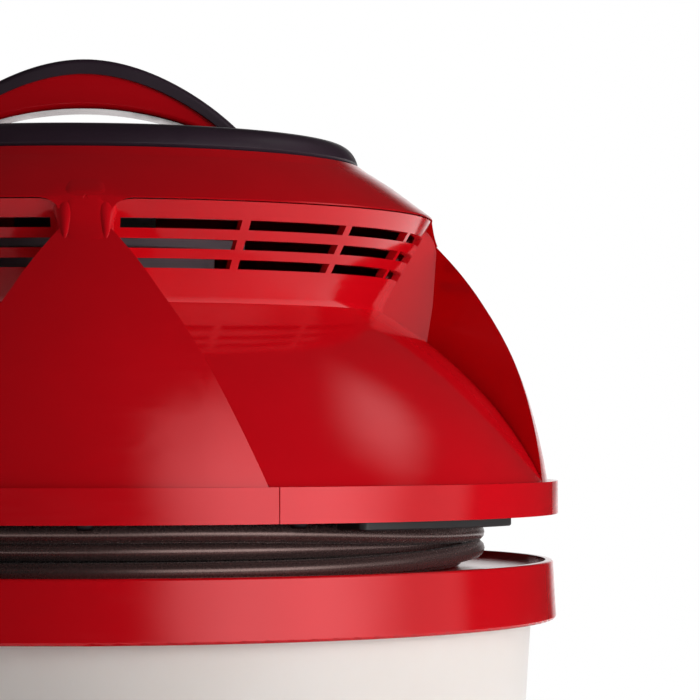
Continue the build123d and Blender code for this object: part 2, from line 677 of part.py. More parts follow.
# ================================================================ dome forms
DOME_PROFILE = [(DOME_TOP_R, DOME_TOP_Z), (149.0, GROOVE_TOP_Z + 109.3), (165.6, GROOVE_TOP_Z + 89.5),
                (180.2, GROOVE_TOP_Z + 66.0), (190.8, GROOVE_TOP_Z + 38.2), (DOME_FOOT_R, BAND_TOP_Z)]


def dome_outline():
    """Half section of the closed outside form of the dome, for the open sketch."""
    with BuildLine() as section:
        crown = Spline(*DOME_PROFILE)
        Polyline(crown @ 0, (PLATE_SEAT_R, PLATE_SEAT_Z), (0, PLATE_SEAT_Z), (0, GROOVE_TOP_Z),
                 (BAND_R, GROOVE_TOP_Z), (BAND_R, BAND_TOP_Z), crown @ 1)
    make_face(section.edges())


def inset(point, centre, distance):
    """Point moved towards a centre by a distance."""
    reach = sqrt((point[0] - centre[0]) ** 2 + (point[1] - centre[1]) ** 2)
    share = distance / reach
    return (point[0] + (centre[0] - point[0]) * share, point[1] + (centre[1] - point[1]) * share)


DOME_CENTRE = (40.0, GROOVE_TOP_Z - 5.0)


def hollow_outline():
    """Half section of the space inside the dome, one skin in from the outside."""
    with BuildLine() as section:
        crown = Spline((PLATE_SEAT_R + 2, PLATE_SEAT_Z - SKIN),
                       *[inset(point, DOME_CENTRE, SKIN) for point in DOME_PROFILE[1:-1]],
                       (DOME_FOOT_R - SKIN, BAND_TOP_Z - SKIN))
        Polyline(crown @ 0, (0, PLATE_SEAT_Z - SKIN), (0, GROOVE_TOP_Z), (BAND_INNER_R, GROOVE_TOP_Z), (BAND_INNER_R, BAND_TOP_Z - SKIN), crown @ 1)
    make_face(section.edges())


with BuildPart() as dome_form:
    with BuildSketch(Plane.XZ):
        dome_outline()
    revolve(axis=Axis.Z)

with BuildPart() as dome_hollow:
    with BuildSketch(Plane.XZ):
        hollow_outline()
    revolve(axis=Axis.Z)
    with BuildSketch(Plane.XY.offset(PLATE_SEAT_Z - 2 * SKIN)):
        Circle(PLATE_SEAT_INNER)
    extrude(amount=4 * SKIN)



# ================================================================ exhaust recesses
def recess_outline(grow):
    """Closed outline of a recess looking along its own axis, for the open sketch."""
    with BuildLine() as outline:
        Polyline((0, GROOVE_TOP_Z - 20), (RECESS_FOOT_HALF, GROOVE_TOP_Z - 20),
                 (RECESS_FOOT_HALF, BAND_TOP_Z))
        ThreePointArc((RECESS_FOOT_HALF, BAND_TOP_Z), (RECESS_MID_HALF, GROOVE_TOP_Z + RECESS_MID_RISE),
                      (RECESS_TOP_HALF, GROOVE_TOP_Z + RECESS_STRAIGHT_RISE))
        Line((RECESS_TOP_HALF, GROOVE_TOP_Z + RECESS_STRAIGHT_RISE),
             (RECESS_TOP_HALF, RECESS_TOP_Z - RECESS_CORNER_R))
        JernArc(start=(RECESS_TOP_HALF, RECESS_TOP_Z - RECESS_CORNER_R), tangent=(0, 1),
                radius=RECESS_CORNER_R, arc_size=90)
        Line((RECESS_TOP_HALF - RECESS_CORNER_R, RECESS_TOP_Z), (0, RECESS_TOP_Z))
        mirror(about=Plane.YZ)
    make_face(outline.edges())
    if grow:
        offset(amount=grow, kind=Kind.INTERSECTION)


def recess_prism(azimuth, grow):
    """Solid that runs outward with the outline of a recess, grown by a distance, clear of the pillar."""
    apex = polar((PILLAR_HALF - grow) / sin(radians(VENT_AZIMUTH)), azimuth)[:2]
    corners = [polar(reach, azimuth + turn)[:2] for reach, turn in
               ((RECESS_REACH, -VENT_AZIMUTH), (2 * RECESS_REACH, 0), (RECESS_REACH, VENT_AZIMUTH))]
    with BuildPart() as prism:
        with BuildSketch(radial_plane(azimuth)):
            recess_outline(grow)
        extrude(amount=RECESS_REACH)
        with BuildSketch(Plane.XY.offset(GROOVE_TOP_Z - 30)):
            Polygon((0, 0), *corners, align=None)
            with Locations(apex):
                Polygon((0, 0), *corners, align=None, mode=Mode.INTERSECT)
        extrude(amount=RECESS_REACH, mode=Mode.INTERSECT)
    return prism.part


BONNET_POINTS = [(BONNET_TOP_R, GROOVE_TOP_Z + BONNET_TOP_RISE), (BONNET_MID_R, GROOVE_TOP_Z + BONNET_MID_RISE),
                 (DOME_FOOT_R, BAND_TOP_Z)]


def circle_centre(first, second, third):
    """Centre of the circle through three points."""
    (ax, ay), (bx, by), (cx, cy) = first, second, third
    twice = 2 * (ax * (by - cy) + bx * (cy - ay) + cx * (ay - by))
    squares = [x * x + y * y for x, y in (first, second, third)]
    x = (squares[0] * (by - cy) + squares[1] * (cy - ay) + squares[2] * (ay - by)) / twice
    y = (squares[0] * (cx - bx) + squares[1] * (ax - cx) + squares[2] * (bx - ax)) / twice
    return (x, y)


BONNET_CENTRE = circle_centre(*BONNET_POINTS)


def recess_floor(depth):
    """Solid of revolution under the grille and the bonnet, set in by a depth."""
    slope = atan2(RECESS_TOP_RISE - GRILLE_FOOT_RISE, GRILLE_TOP_R - GRILLE_FOOT_R)
    shift = depth / sin(slope)
    bonnet = [inset(point, BONNET_CENTRE, depth) for point in BONNET_POINTS]
    rise = RECESS_TOP_Z + 6
    top = (GRILLE_TOP_R - shift + 6 / tan(slope), rise)
    foot = (GRILLE_FOOT_R - shift, GROOVE_TOP_Z + GRILLE_FOOT_RISE)
    band_inner = BAND_R - depth
    with BuildPart() as floor_form:
        with BuildSketch(Plane.XZ):
            with BuildLine():
                Line((0, rise), top)
                Line(top, foot)
                Line(foot, bonnet[0])
                ThreePointArc(*bonnet)
                Polyline(bonnet[-1], (band_inner, BAND_TOP_Z - depth), (band_inner, GROOVE_TOP_Z),
                         (0, GROOVE_TOP_Z), (0, rise))
            make_face()
        revolve(axis=Axis.Z)
    return floor_form.part


def visor(azimuth):
    """Brow of the dome that overhangs a grille, with rounded ears at its ends."""
    with BuildPart() as brow:
        with BuildSketch(Plane.XZ):
            with BuildLine():
                Polyline((VISOR_ROOT_R, DOME_TOP_Z - 4), (VISOR_TIP_R, RECESS_TOP_Z + 0.9),
                         (VISOR_TIP_R + 5.4, RECESS_TOP_Z - VISOR_EAR_DROP),
                         (VISOR_ROOT_R + 18, RECESS_TOP_Z - VISOR_EAR_DROP), (VISOR_ROOT_R - 4, DOME_TOP_Z - 8),
                         close=True)
            make_face()
        revolve(axis=Axis.Z)
        with BuildSketch(radial_plane(azimuth)):
            with Locations((0, DOME_TOP_Z)):
                Rectangle(2 * VISOR_HALF, 2 * (DOME_TOP_Z - RECESS_TOP_Z + VISOR_EAR_DROP))
            fillet(vertices().group_by(Axis.Y)[0], VISOR_CORNER_R)
        extrude(amount=RECESS_REACH, mode=Mode.INTERSECT)
    return brow.part


SECTORS = (VENT_AZIMUTH, -VENT_AZIMUTH)

with BuildPart() as hood:
    add(dome_form.part)
    add(dome_hollow.part, mode=Mode.SUBTRACT)
    for azimuth in SECTORS:
        add(visor(azimuth))
    for azimuth in SECTORS:
        with BuildPart(mode=Mode.PRIVATE) as recess_walls:
            add(recess_prism(azimuth, SKIN))
            add(dome_form.part, mode=Mode.INTERSECT)
            add(recess_floor(SKIN + WALL_DEPTH), mode=Mode.SUBTRACT)
        add(recess_walls.part)
    for azimuth in SECTORS:
        add(recess_prism(azimuth, 0), mode=Mode.SUBTRACT)
    with BuildSketch(Plane.XY.offset(GROOVE_TOP_Z)):
        Circle(BAND_INNER_R)
    extrude(amount=COVER_DISC_THICK, mode=Mode.SUBTRACT)
    with BuildSketch(Plane.XY.offset(DISC_TOP_Z)):
        with Locations(*HOOD_BOSS_SITES):
            Circle(BOSS_R)
    extrude(until=Until.NEXT)
    with BuildSketch(Plane.XY.offset(DISC_TOP_Z)):
        with Locations(*HOOD_BOSS_SITES):
            Circle(SCREW_R)
    extrude(amount=16, mode=Mode.SUBTRACT)
finish(hood, "hood")

for azimuth, hand in ((VENT_AZIMUTH, "right"), (-VENT_AZIMUTH, "left")):
    with BuildPart() as vent_cover:
        add(recess_floor(0))
        add(recess_floor(SKIN), mode=Mode.SUBTRACT)
        add(recess_prism(azimuth, -SEAM), mode=Mode.INTERSECT)
        for row in range(SLOT_ROWS):
            slot_z = GROOVE_TOP_Z + SLOT_TOP_RISE - SLOT_HEIGHT - row * SLOT_PITCH
            with BuildSketch(Plane.XY.offset(slot_z)):
                for column in range(SLOT_COLUMNS):
                    start = azimuth + (column - SLOT_COLUMNS / 2) * SLOT_COLUMN_PITCH
                    rib = degrees(SLOT_RIB / 2 / GRILLE_FOOT_R)
                    annular_sector(GRILLE_FOOT_R - 20, GRILLE_TOP_R + 2, start + rib,
                                   start + SLOT_COLUMN_PITCH - rib)
            extrude(amount=SLOT_HEIGHT, mode=Mode.SUBTRACT)
        sites = [polar(COVER_BOSS_CIRCLE, azimuth + end * COVER_BOSS_OFFSET)[:2] for end in (1, -1)]
        with BuildSketch(Plane.XY.offset(DISC_TOP_Z)):
            with Locations(*sites):
                Circle(BOSS_R)
        extrude(until=Until.NEXT)
        with BuildSketch(Plane.XY.offset(DISC_TOP_Z)):
            with Locations(*sites):
                Circle(SCREW_R)
        extrude(amount=16, mode=Mode.SUBTRACT)
    finish(vent_cover, f"vent_cover_{hand}")

with BuildPart() as hood_screws:
    with BuildSketch(Plane.XY.offset(GROOVE_TOP_Z)):
        with Locations(*HOOD_BOSS_SITES, *COVER_BOSS_SITES):
            Circle(SCREW_HEAD_R)
    extrude(amount=-SCREW_HEAD_THICK)
    with BuildSketch(Plane.XY.offset(GROOVE_TOP_Z)):
        with Locations(*HOOD_BOSS_SITES, *COVER_BOSS_SITES):
            Circle(SCREW_R)
    extrude(amount=COVER_DISC_THICK + 12)
finish(hood_screws, "hood_screws")

# ================================================================ cap plate and handle
WELL_TOP_LENGTH = 2 * WELL_HALF_LENGTH
WELL_TOP_WIDTH = 2 * WELL_HALF_WIDTH
WELL_FLOOR_Z = PLATE_TOP_Z - WELL_DEPTH
EDGE_DROP = PLATE_RISE - PLATE_EDGE_RISE
HANDLE_SCREW_SITES = [(side * HANDLE_SCREW_X, end * HANDLE_SCREW_Y) for side in (1, -1) for end in (1, -1)]


def switch_hole(length, width, radius):
    """Rounded opening on the switch's centre, for the open sketch."""
    with Locations((0, SWITCH_Y)):
        RectangleRounded(width, length, radius)


with BuildPart() as top_plate:
    with BuildSketch(Plane.XZ):
        with BuildLine():
            Line((0, PLATE_TOP_Z), (PLATE_FLAT_R, PLATE_TOP_Z))
            Spline((PLATE_FLAT_R, PLATE_TOP_Z), (PLATE_R, PLATE_SEAT_Z + PLATE_EDGE_RISE),
                   tangents=((1, 0), (0.25, -1)))
            Polyline((PLATE_R, PLATE_SEAT_Z + PLATE_EDGE_RISE), (PLATE_R - PLATE_EDGE_RISE, PLATE_SEAT_Z),
                     (PLATE_R - PLATE_EDGE_RISE - PLATE_THICK, PLATE_SEAT_Z),
                     (PLATE_FLAT_R - PLATE_THICK, PLATE_TOP_Z - PLATE_THICK), (0, PLATE_TOP_Z - PLATE_THICK),
                     (0, PLATE_TOP_Z))
        make_face()
    revolve(axis=Axis.Z)
    with BuildSketch(Plane.XY.offset(PLATE_SEAT_Z)):
        Circle(PLATE_SEAT_INNER - SLIP)
        Circle(PLATE_SEAT_INNER - SLIP - PLATE_THICK, mode=Mode.SUBTRACT)
    extrude(amount=PLATE_RISE - 1)
    with BuildSketch(Plane.XY.offset(PLATE_SEAT_Z)):
        Circle(PLATE_SEAT_INNER - SLIP)
        Circle(PLATE_SEAT_INNER - SLIP - PLATE_THICK, mode=Mode.SUBTRACT)
    extrude(amount=-SKIN)
    with BuildSketch(Plane.XY.offset(PLATE_TOP_Z)):
        RectangleRounded(WELL_TOP_LENGTH + 2 * WELL_WALL, WELL_TOP_WIDTH + 2 * WELL_WALL, WELL_CORNER + WELL_WALL)
    extrude(amount=-(WELL_DEPTH + WELL_WALL), taper=WELL_DRAFT)
    with BuildSketch(Plane.XY.offset(PLATE_TOP_Z)):
        RectangleRounded(WELL_TOP_LENGTH, WELL_TOP_WIDTH, WELL_CORNER)
    extrude(amount=-WELL_DEPTH, taper=WELL_DRAFT, mode=Mode.SUBTRACT)
    with BuildSketch(Plane.XY.offset(PLATE_TOP_Z)):
        switch_hole(BEZEL_LENGTH - 2 * BEZEL_RIM + 2 * SEAM, BEZEL_WIDTH - 2 * BEZEL_RIM + 2 * SEAM, 2)
    extrude(amount=-2 * PLATE_THICK, mode=Mode.SUBTRACT)
    with BuildSketch(Plane.XY.offset(PLATE_TOP_Z - 2 * PLATE_THICK)):
        with Locations(*HANDLE_SCREW_SITES):
            Circle(HANDLE_SCREW_R)
    extrude(amount=3 * PLATE_THICK, mode=Mode.SUBTRACT)
finish(top_plate, "top_plate")

ARCH_FALL = HANDLE_RISE / HANDLE_FOOT_HALF ** 2


def arch_height(x):
    """Height of the outside of the handle's arch at a distance from the middle."""
    return PLATE_TOP_Z + HANDLE_RISE - ARCH_FALL * x * x


def arch_points(drop, reach):
    """Points along the arch, lowered by a drop, from one foot to the other."""
    return [(share * reach, arch_height(share * reach) - drop) for share in (-1, -0.6, 0, 0.6, 1)]


GRIP_FOOT = sqrt((HANDLE_RISE - GRIP_THICK) / ARCH_FALL)

with BuildPart() as handle_grip:
    with BuildSketch(Plane.XZ):
        with BuildLine():
            outside = Spline(*arch_points(0, HANDLE_FOOT_HALF))
            underside = Spline(*arch_points(GRIP_THICK, GRIP_FOOT))
            Line(outside @ 0, underside @ 0)
            Line(outside @ 1, underside @ 1)
        make_face()
    extrude(amount=GRIP_WIDTH / 2, both=True)
    long_edges = handle_grip.edges().filter_by(lambda edge: edge.length > HANDLE_FOOT_HALF)
    fillet(long_edges.group_by(Axis.Z)[-1], 2.2)
    with BuildSketch(Plane.XY.offset(PLATE_TOP_Z)):
        with Locations(*HANDLE_SCREW_SITES):
            Circle(HANDLE_SCREW_R)
    extrude(amount=HANDLE_SCREW_BITE, mode=Mode.SUBTRACT)
finish(handle_grip, "handle_grip")

with BuildPart() as handle_core:
    with BuildSketch(Plane.XZ):
        with BuildLine():
            underside = Spline(*arch_points(GRIP_THICK, GRIP_FOOT))
            gap = ThreePointArc((-CORE_GAP_HALF, PLATE_TOP_Z), (0, PLATE_TOP_Z + CORE_GAP),
                                (CORE_GAP_HALF, PLATE_TOP_Z))
            Line(underside @ 0, gap @ 0)
            Line(underside @ 1, gap @ 1)
        make_face()
    extrude(amount=CORE_WIDTH / 2, both=True)
    fillet(handle_core.edges().filter_by(GeomType.CIRCLE), 2.5)
finish(handle_core, "handle_core")

with BuildPart() as handle_screws:
    with BuildSketch(Plane.XY.offset(PLATE_TOP_Z - PLATE_THICK)):
        with Locations(*HANDLE_SCREW_SITES):
            Circle(HANDLE_SCREW_R)
    extrude(amount=PLATE_THICK + HANDLE_SCREW_BITE)
    with BuildSketch(Plane.XY.offset(PLATE_TOP_Z - PLATE_THICK)):
        with Locations(*HANDLE_SCREW_SITES):
            Circle(2 * HANDLE_SCREW_R)
    extrude(amount=-SCREW_HEAD_THICK)
finish(handle_screws, "handle_screws")

# ---------------------------------------------------------------- rocker switch
BEZEL_BODY_LENGTH = BEZEL_LENGTH - 2 * BEZEL_RIM
BEZEL_BODY_WIDTH = BEZEL_WIDTH - 2 * BEZEL_RIM
ROCKER_PIVOT_Z = PLATE_TOP_Z - ROCKER_PIVOT_DROP
ROCKER_LENGTH = BEZEL_BODY_LENGTH - 2 * BEZEL_WALL - 2 * ROCKER_GAP
ROCKER_WIDTH = BEZEL_BODY_WIDTH - 2 * BEZEL_WALL - 2 * ROCKER_GAP

with BuildPart() as switch_bezel:
    with BuildSketch(Plane.XY.offset(PLATE_TOP_Z)):
        switch_hole(BEZEL_LENGTH, BEZEL_WIDTH, 3)
    extrude(amount=BEZEL_THICK)
    with BuildSketch(Plane.XY.offset(PLATE_TOP_Z)):
        switch_hole(BEZEL_BODY_LENGTH, BEZEL_BODY_WIDTH, 2)
    extrude(amount=-BEZEL_DEPTH)
    with BuildSketch(Plane.XY.offset(PLATE_TOP_Z + BEZEL_THICK)):
        switch_hole(BEZEL_BODY_LENGTH - 2 * BEZEL_WALL, BEZEL_BODY_WIDTH - 2 * BEZEL_WALL, 1)
    extrude(amount=-(BEZEL_DEPTH + BEZEL_THICK - BEZEL_WALL), mode=Mode.SUBTRACT)
    with BuildSketch(Plane(origin=(0, SWITCH_Y, ROCKER_PIVOT_Z), x_dir=(0, 1, 0), z_dir=(1, 0, 0))):
        Circle(ROCKER_PIVOT_R + RUNNING)
    extrude(amount=BEZEL_BODY_WIDTH, both=True, mode=Mode.SUBTRACT)
finish(switch_bezel, "switch_bezel")

with BuildPart() as switch_rocker:
    rocker_plane = Plane(origin=(0, SWITCH_Y, ROCKER_PIVOT_Z), x_dir=(0, cos(radians(ROCKER_TILT)),
                         sin(radians(ROCKER_TILT))), z_dir=(1, 0, 0))
    with BuildSketch(rocker_plane):
        with BuildLine():
            Polyline((-ROCKER_LENGTH / 2 + 0.6, 2), (-ROCKER_LENGTH / 2 + 0.6, 4.6), (0, 3.4),
                     (ROCKER_LENGTH / 2 - 0.6, 4.6), (ROCKER_LENGTH / 2 - 0.6, 2), (3, -4.5), (-3, -4.5), close=True)
        make_face()
    extrude(amount=ROCKER_WIDTH / 2, both=True)
    with BuildSketch(rocker_plane):
        Circle(ROCKER_PIVOT_R)
    extrude(amount=BEZEL_BODY_WIDTH / 2, both=True)
finish(switch_rocker, "switch_rocker")

# ================================================================ motor, fan and bearings
HOUSING_Z = DECK_Z + MOTOR_DECK_THICK
CASING_Z = HOUSING_Z + FAN_HOUSING_HEIGHT
MOUNT_Z = CASING_Z + CASING_HEIGHT
IMPELLER_Z = HOUSING_Z + IMPELLER_FLOAT
ARMATURE_Z = CASING_Z + ARMATURE_RISE
LOWER_BEARING_Z = CASING_Z - HOUSING_WALL - BEARING_THICK
UPPER_BEARING_Z = MOUNT_Z - CASING_WALL - BEARING_THICK
SHAFT_Z = IMPELLER_Z - 4
SHAFT_TOP_Z = MOUNT_Z - CASING_WALL - 0.5


def ring(z, outer, inner, height):
    """Flat ring or tube standing on a height, added to the open part."""
    with BuildSketch(Plane.XY.offset(z)) as outline:
        Circle(outer)
        if inner:
            Circle(inner, mode=Mode.SUBTRACT)
    extrude(outline.sketch, amount=height)


with BuildPart() as motor_deck:
    ring(DECK_Z, MOTOR_DECK_R, INLET_R, MOTOR_DECK_THICK)
finish(motor_deck, "motor_deck")

with BuildPart() as fan_housing:
    ring(HOUSING_Z, HOUSING_FOOT_R, INLET_R, HOUSING_WALL)
    ring(HOUSING_Z, FAN_HOUSING_R, FAN_HOUSING_R - HOUSING_WALL, FAN_HOUSING_HEIGHT)
    ring(CASING_Z - HOUSING_WALL, FAN_HOUSING_R, SHAFT_R + 3, HOUSING_WALL)
    ring(LOWER_BEARING_Z, LOWER_BEARING_R + BEARING_WALL, LOWER_BEARING_R, BEARING_THICK)
    with BuildSketch(Plane.XY.offset(CASING_Z)):
        with PolarLocations(38, 8):
            Circle(8)
    extrude(amount=-HOUSING_WALL, mode=Mode.SUBTRACT)
finish(fan_housing, "fan_housing")

with BuildPart() as bearing_lower:
    ring(LOWER_BEARING_Z, LOWER_BEARING_R, SHAFT_R + RUNNING, BEARING_THICK)
finish(bearing_lower, "bearing_lower")

with BuildPart() as bearing_upper:
    ring(UPPER_BEARING_Z, UPPER_BEARING_R, SHAFT_R + RUNNING, BEARING_THICK)
finish(bearing_upper, "bearing_upper")

with BuildPart() as motor_casing:
    ring(CASING_Z, CASING_R, CASING_R - CASING_WALL, CASING_HEIGHT)
    ring(MOUNT_Z - CASING_WALL, CASING_R, 0, CASING_WALL)
    ring(UPPER_BEARING_Z, UPPER_BEARING_R + BEARING_WALL, UPPER_BEARING_R, BEARING_THICK)
    with BuildSketch(Plane.XY.offset(MOUNT_Z - CASING_WALL)):
        with PolarLocations(32, 8):
            Circle(7)
    extrude(amount=CASING_WALL, mode=Mode.SUBTRACT)
    for turn in range(6):
        with BuildSketch(radial_plane(turn * 60.0 + 15, CASING_Z + 73)):
            RectangleRounded(34, 10, 4)
        extrude(amount=CASING_R + 5, mode=Mode.SUBTRACT)
finish(motor_casing, "motor_casing")

with BuildPart() as motor_stator:
    ring(ARMATURE_Z, CASING_R - CASING_WALL, STATOR_INNER, ARMATURE_HEIGHT)
finish(motor_stator, "motor_stator")

with BuildPart() as brush_holders:
    for side in (0, 180):
        with BuildSketch(radial_plane(side, ARMATURE_Z + ARMATURE_HEIGHT + 10, COMMUTATOR_R + 0.3)):
            Rectangle(9, 8)
        extrude(amount=CASING_R - CASING_WALL - COMMUTATOR_R - 0.6)
finish(brush_holders, "brush_holders")

with BuildPart() as motor_top_mount:
    ring(MOUNT_Z, TOP_MOUNT_R, 12, TOP_MOUNT_THICK)
    fillet(motor_top_mount.edges().filter_by(lambda edge: edge.length > 2 * TOP_MOUNT_R), 1)
finish(motor_top_mount, "motor_top_mount")

CUSHION_Z = MOUNT_Z + TOP_MOUNT_THICK
with BuildPart() as motor_cushion:
    ring(CUSHION_Z, CUSHION_OUTER, CUSHION_INNER, WELL_FLOOR_Z - WELL_WALL - CUSHION_Z)
finish(motor_cushion, "motor_cushion")

with BuildPart() as motor_shaft:
    ring(SHAFT_Z, SHAFT_R, 0, SHAFT_TOP_Z - SHAFT_Z)
finish(motor_shaft, "motor_shaft")

with BuildPart() as impeller:
    ring(IMPELLER_Z, 3 * SHAFT_R, SHAFT_R, IMPELLER_HEIGHT)
    ring(IMPELLER_Z + IMPELLER_HEIGHT - 2, IMPELLER_R, SHAFT_R, 2)
    with BuildSketch(Plane.XY.offset(IMPELLER_Z)):
        with PolarLocations(0, IMPELLER_BLADES):
            with BuildLine():
                blade = ThreePointArc((22, 0), (40, 10), (IMPELLER_R - 1, 4))
                offset(blade, amount=0.75)
            make_face()
    extrude(amount=IMPELLER_HEIGHT - 2)
finish(impeller, "impeller")

with BuildPart() as armature:
    ring(ARMATURE_Z, ARMATURE_R, SHAFT_R, ARMATURE_HEIGHT)
    ring(ARMATURE_Z + ARMATURE_HEIGHT, COMMUTATOR_R, SHAFT_R, 18)
    ring(ARMATURE_Z - 8, ARMATURE_R - 6, SHAFT_R, 8)
finish(armature, "armature")

# ================================================================ filter under the motor deck
CAGE_Z = DECK_Z - CAGE_HEIGHT
STUD_Z = CAGE_Z - STUD_LENGTH
PLEAT_Z = CAGE_Z
TOP_CAP_Z = DECK_Z - FILTER_TOP_CAP

with BuildPart() as filter_cage:
    ring(CAGE_Z, CAGE_R, CAGE_R - CAGE_WALL, CAGE_HEIGHT)
    ring(CAGE_Z, CAGE_R, 0, CAGE_WALL)
    ring(STUD_Z, STUD_R, 0, STUD_LENGTH)
    for turn in range(4):
        with BuildSketch(radial_plane(turn * 45.0, CAGE_Z + CAGE_HEIGHT / 2 - 2)):
            RectangleRounded(30, CAGE_HEIGHT - 24, 4)
        extrude(amount=CAGE_R + 5, both=True, mode=Mode.SUBTRACT)
finish(filter_cage, "filter_cage")


def pleat_outline(inset_r):
    """Closed star of the pleats, drawn in by a distance."""
    corners = []
    for step in range(2 * PLEAT_COUNT):
        radius = (PLEAT_INNER if step % 2 else PLEAT_OUTER) - inset_r
        corners.append(polar(radius, step * 180.0 / PLEAT_COUNT)[:2])
    return corners


with BuildPart() as filter_pleats:
    with BuildSketch(Plane.XY.offset(PLEAT_Z)):
        Polygon(*pleat_outline(0), align=None)
        Polygon(*pleat_outline(PLEAT_SKIN), align=None, mode=Mode.SUBTRACT)
    extrude(amount=TOP_CAP_Z - PLEAT_Z)
finish(filter_pleats, "filter_pleats")

with BuildPart() as filter_top_cap:
    ring(TOP_CAP_Z, FILTER_CAP_R, CAGE_R + SEAM, FILTER_TOP_CAP)
finish(filter_top_cap, "filter_top_cap")

with BuildPart() as filter_bottom_cap:
    ring(CAGE_Z - FILTER_END_CAP, FILTER_CAP_R, STUD_R + SEAM, FILTER_END_CAP)
finish(filter_bottom_cap, "filter_bottom_cap")

with BuildPart() as filter_nut:
    ring(CAGE_Z - FILTER_END_CAP - NUT_HEIGHT, NUT_R, STUD_R, NUT_HEIGHT)
    with BuildSketch(Plane.XY.offset(CAGE_Z - FILTER_END_CAP)):
        with PolarLocations(NUT_R, 8):
            Circle(2.2)
    extrude(amount=-NUT_HEIGHT, mode=Mode.SUBTRACT)
finish(filter_nut, "filter_nut")

# ================================================================ mains cord and plug
CORD_R = CORD_D / 2
COIL_Z = DECK_Z + COIL_LIFT
GLAND_Z = DECK_Z + GLAND_RISE
GLAND_PLANE = Plane(origin=polar(GLAND_CIRCLE, BAY_START, GLAND_Z), x_dir=(0, 0, 1),
                    z_dir=(cos(radians(BAY_START)), sin(radians(BAY_START)), 0))

with BuildPart() as cord_coil:
    with BuildSketch(Plane.XZ):
        with BuildLine():
            Polyline((COIL_INNER, COIL_Z), (COIL_OUTER, COIL_Z), (COIL_OUTER, COIL_Z + COIL_HEIGHT - 7),
                     (COIL_OUTER - 7, COIL_Z + COIL_HEIGHT), (COIL_INNER, COIL_Z + COIL_HEIGHT), close=True)
        make_face()
    revolve(axis=Axis.Z)
finish(cord_coil, "cord_coil")

with BuildPart() as cord_gland:
    with BuildSketch(GLAND_PLANE):
        Circle(GLAND_R)
    extrude(amount=2)
    with BuildSketch(GLAND_PLANE.offset(2)):
        Circle(GLAND_R - 0.8)
    with BuildSketch(GLAND_PLANE.offset(GLAND_LENGTH)):
        Circle(GLAND_TIP_R)
    loft()
finish(cord_gland, "cord_gland")


def cord_tube(points, label):
    """Cord along straight runs joined by tangent arcs, each as large as its two runs allow."""
    radii = []
    for before, corner, after in zip(points, points[1:], points[2:]):
        run_in = Vector(*corner) - Vector(*before)
        run_out = Vector(*after) - Vector(*corner)
        half_turn = radians(run_in.get_angle(run_out)) / 2
        radii.append(0.45 * min(run_in.length, run_out.length) / tan(half_turn))
    print(label, "bend radii", [round(radius) for radius in radii])
    start = Vector(*points[0])
    with BuildPart() as tube:
        with BuildLine() as route:
            FilletPolyline(*points, radius=radii)
        with BuildSketch(Plane(origin=start, z_dir=Vector(*points[1]) - start)):
            Circle(CORD_R)
        sweep()
    print(label, "volume share", tube.part.volume / (route.wires()[0].length * pi * CORD_R ** 2))
    finish(tube, label)


gland_tip = GLAND_PLANE.from_local_coords((0, 0, GLAND_LENGTH))
lead_aim = GLAND_PLANE.from_local_coords((0, 0, GLAND_LENGTH + 26))
LEAD_POINTS = [tuple(gland_tip), tuple(lead_aim), polar(146.5, 200.0, DECK_Z + 4.2)]
cord_tube(LEAD_POINTS, "cord_lead")

PLUG_PLANE = Plane(origin=polar(PLUG_CIRCLE, PLUG_AZIMUTH, DECK_Z + PLUG_HEIGHT / 2 + COIL_LIFT), x_dir=polar(1, PLUG_AZIMUTH),
                   z_dir=(-cos(radians(PLUG_AZIMUTH)), -sin(radians(PLUG_AZIMUTH)), 0))
relief_tip = PLUG_PLANE.from_local_coords((0, 0, PLUG_LENGTH / 2 + PLUG_RELIEF))
tail_aim = PLUG_PLANE.from_local_coords((0, 0, PLUG_LENGTH / 2 + PLUG_RELIEF + 22))
TAIL_POINTS = [polar(171.0, 130.0, DECK_Z + 4.2), polar(177.0, 141.0, DECK_Z + 4.2), tuple(tail_aim),
               tuple(relief_tip)]
cord_tube(TAIL_POINTS, "cord_tail")

with BuildPart() as plug_body:
    with BuildSketch(PLUG_PLANE.offset(-PLUG_LENGTH / 2)):
        RectangleRounded(PLUG_WIDTH, PLUG_HEIGHT, 3)
    extrude(amount=PLUG_LENGTH)
    with BuildSketch(PLUG_PLANE.offset(PLUG_LENGTH / 2)):
        Circle(PLUG_HEIGHT / 2 - 0.6)
    with BuildSketch(PLUG_PLANE.offset(PLUG_LENGTH / 2 + PLUG_RELIEF)):
        Circle(CORD_R + 0.8)
    loft()
finish(plug_body, "plug_body")

with BuildPart() as plug_blades:
    with BuildSketch(PLUG_PLANE.offset(-PLUG_LENGTH / 2)):
        with GridLocations(BLADE_SPACING, 0, 2, 1):
            Rectangle(BLADE_THICK, BLADE_WIDTH)
    extrude(amount=-BLADE_LENGTH)
finish(plug_blades, "plug_blades")
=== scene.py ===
"""Dresses a packed shop vacuum and sets it in a plain white studio.

The CAD solids carry the shape. This script gives each of them the finish of the real
moulding, softens its edges, lays the mains cord in its winding groove, and puts detailed
pieces of the same size in place of the small fasteners, the strain reliefs and the plug.
Azimuths are degrees round the upright axis, from the front (-Y) towards +X, and sizes are
millimetres unless a name says otherwise.
"""

import json
import logging
import math
from dataclasses import dataclass
from enum import Enum
from typing import Any, Callable, Sequence

import bmesh
import bpy
from mathutils import Matrix, Vector

